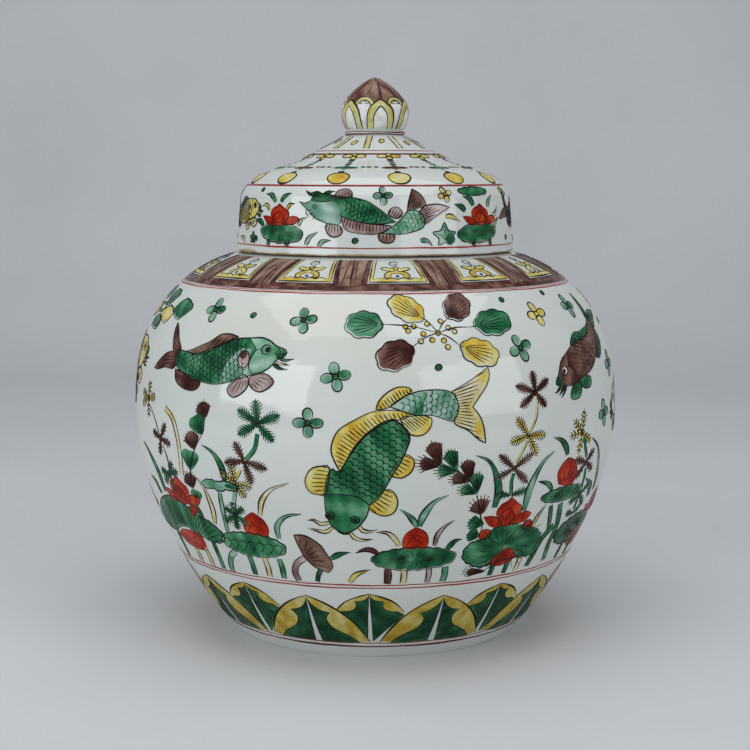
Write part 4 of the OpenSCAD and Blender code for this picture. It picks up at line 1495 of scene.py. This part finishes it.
def paint_lid():
    """The wall of the lid, its top and the bud of the finial."""
    on_lid("lid_carp", lid_carp)
    on_lid("lid_front", lid_front)
    for k, at in enumerate((-66, 74, 182, 288, 394)):
        on_lid(f"lid_clump_{k + 1}", lambda sheet: lid_clump(sheet, at, 1.08, (1, -1)[k % 2]))
    for k, (at, hue) in enumerate(((-110, "yellow"), (132, "green"), (239, "plum"), (344, "yellow"))):
        on_lid(f"lid_fish_{k + 1}", lambda sheet: lid_back(sheet, hue), shift=at, mirror=True)
    on_lid("lid_lines", lambda sheet: ring_line(sheet, 5.5, 0.9))
    paint("lid_top", LID_TOP, "lid", "lid_porcelain", dome)
    paint("bud", BUD, "lid", "finial_enamel", bud_petals)
    paint("collar", COLLAR, "lid", "finial_enamel",
          lambda sheet: [ring_line(sheet, up, 0.8, "maroon") for up in (1.6, COLLAR.s[-1] - 1.6)])


paint_pond()
paint_fish()
paint_bands()
paint_lid()

GLAZES = {
    "body_porcelain": porcelain("body_glaze", -1.4),
    "lid_porcelain": porcelain("lid_glaze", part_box("lid_cap")[0].z / MM),
    "finial_enamel": porcelain("finial_glaze", -1.0),
}
for name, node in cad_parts.items():
    slot = node.data.materials[0].name.split(".")[0]
    node.material_slots[0].material = GLAZES.get(slot, GLAZES["body_porcelain"])


# ---------------------------------------------------------------- the stage

# Metres, watts and degrees.
FLOOR_FRONT, FLOOR_BACK, FLOOR_SIDE = -3.0, 1.2, 4.0
BEND = 0.8               # radius of the sweep from the floor to the wall
WALL_TOP = 3.4
SURROUND = 0.34          # strength of the light from all round
LAMP_AIM = (0, 0, 0.2)
LAMPS = (                # name, place, size and power
    ("left_window", (-1.45, -1.15, 0.62), (1.5, 0.9), 14),
    ("right_window", (1.3, -1.3, 0.58), (1.7, 0.9), 9.5),
    ("top_window", (0, -0.4, 2.0), (2.6, 1.8), 22),
)
EYE = (0, -1.068, 0.302)
LOOK_DOWN = 7.33
LENS, SENSOR = 77.4, 36  # millimetres


def flat_material(name, rgb, roughness):
    """A plain matt material with a faint cloud in it."""
    material, shader, add, feed = new_material(name)
    feed(mixed(add, noise(add, 3), rgb, [0.97 * part for part in rgb]), "Base Color")
    shader.inputs["Roughness"].default_value = roughness
    return material


def make_stage():
    """A pale floor that sweeps up into a backdrop."""
    sweep = np.linspace(0, math.pi / 2, 17)[1:]
    profile = [(FLOOR_FRONT, 0.0), (FLOOR_BACK, 0.0)]
    profile += [(FLOOR_BACK + math.sin(a) * BEND, BEND - math.cos(a) * BEND) for a in sweep]
    profile += [(FLOOR_BACK + BEND, WALL_TOP)]
    spots = [(x, y, z) for y, z in profile for x in (-FLOOR_SIDE, FLOOR_SIDE)]
    faces = [(2 * i, 2 * i + 1, 2 * i + 3, 2 * i + 2) for i in range(len(profile) - 1)]
    mesh = bpy.data.meshes.new("floor")
    mesh.from_pydata(spots, [], faces)
    mesh.polygons.foreach_set("use_smooth", [True] * len(faces))
    mesh.materials.append(flat_material("paper", (206, 208, 211), 0.7))
    floor = bpy.data.objects.new("floor", mesh)
    bpy.context.scene.collection.objects.link(floor)


def area_light(name, place, size, power):
    """A soft rectangular lamp that shines at the jar."""
    data = bpy.data.lights.new(name, "AREA")
    data.shape = "RECTANGLE"
    data.size, data.size_y = size
    data.energy = power
    lamp = bpy.data.objects.new(name, data)
    bpy.context.scene.collection.objects.link(lamp)
    lamp.location = place
    lamp.rotation_euler = (Vector(LAMP_AIM) - Vector(place)).to_track_quat("-Z", "Y").to_euler()


def make_lights():
    """Two windows in front, a wide soft light above and a dim even surround."""
    world = bpy.data.worlds.new("studio")
    bpy.context.scene.world = world
    world.use_nodes = True
    surround = world.node_tree.nodes["Background"]
    surround.inputs["Color"].default_value = (0.93, 0.96, 1, 1)
    surround.inputs["Strength"].default_value = SURROUND
    for lamp in LAMPS:
        area_light(*lamp)


def make_camera():
    """The eye stands 1.07 m from the jar's axis, a little above its belly."""
    data = bpy.data.cameras.new("camera")
    data.lens = LENS
    data.sensor_width = SENSOR
    camera = bpy.data.objects.new("camera", data)
    bpy.context.scene.collection.objects.link(camera)
    camera.location = EYE
    camera.rotation_euler = (math.radians(90 - LOOK_DOWN), 0, 0)
    bpy.context.scene.camera = camera


make_stage()
make_lights()
make_camera()
bpy.context.scene.view_settings.view_transform = "Standard"
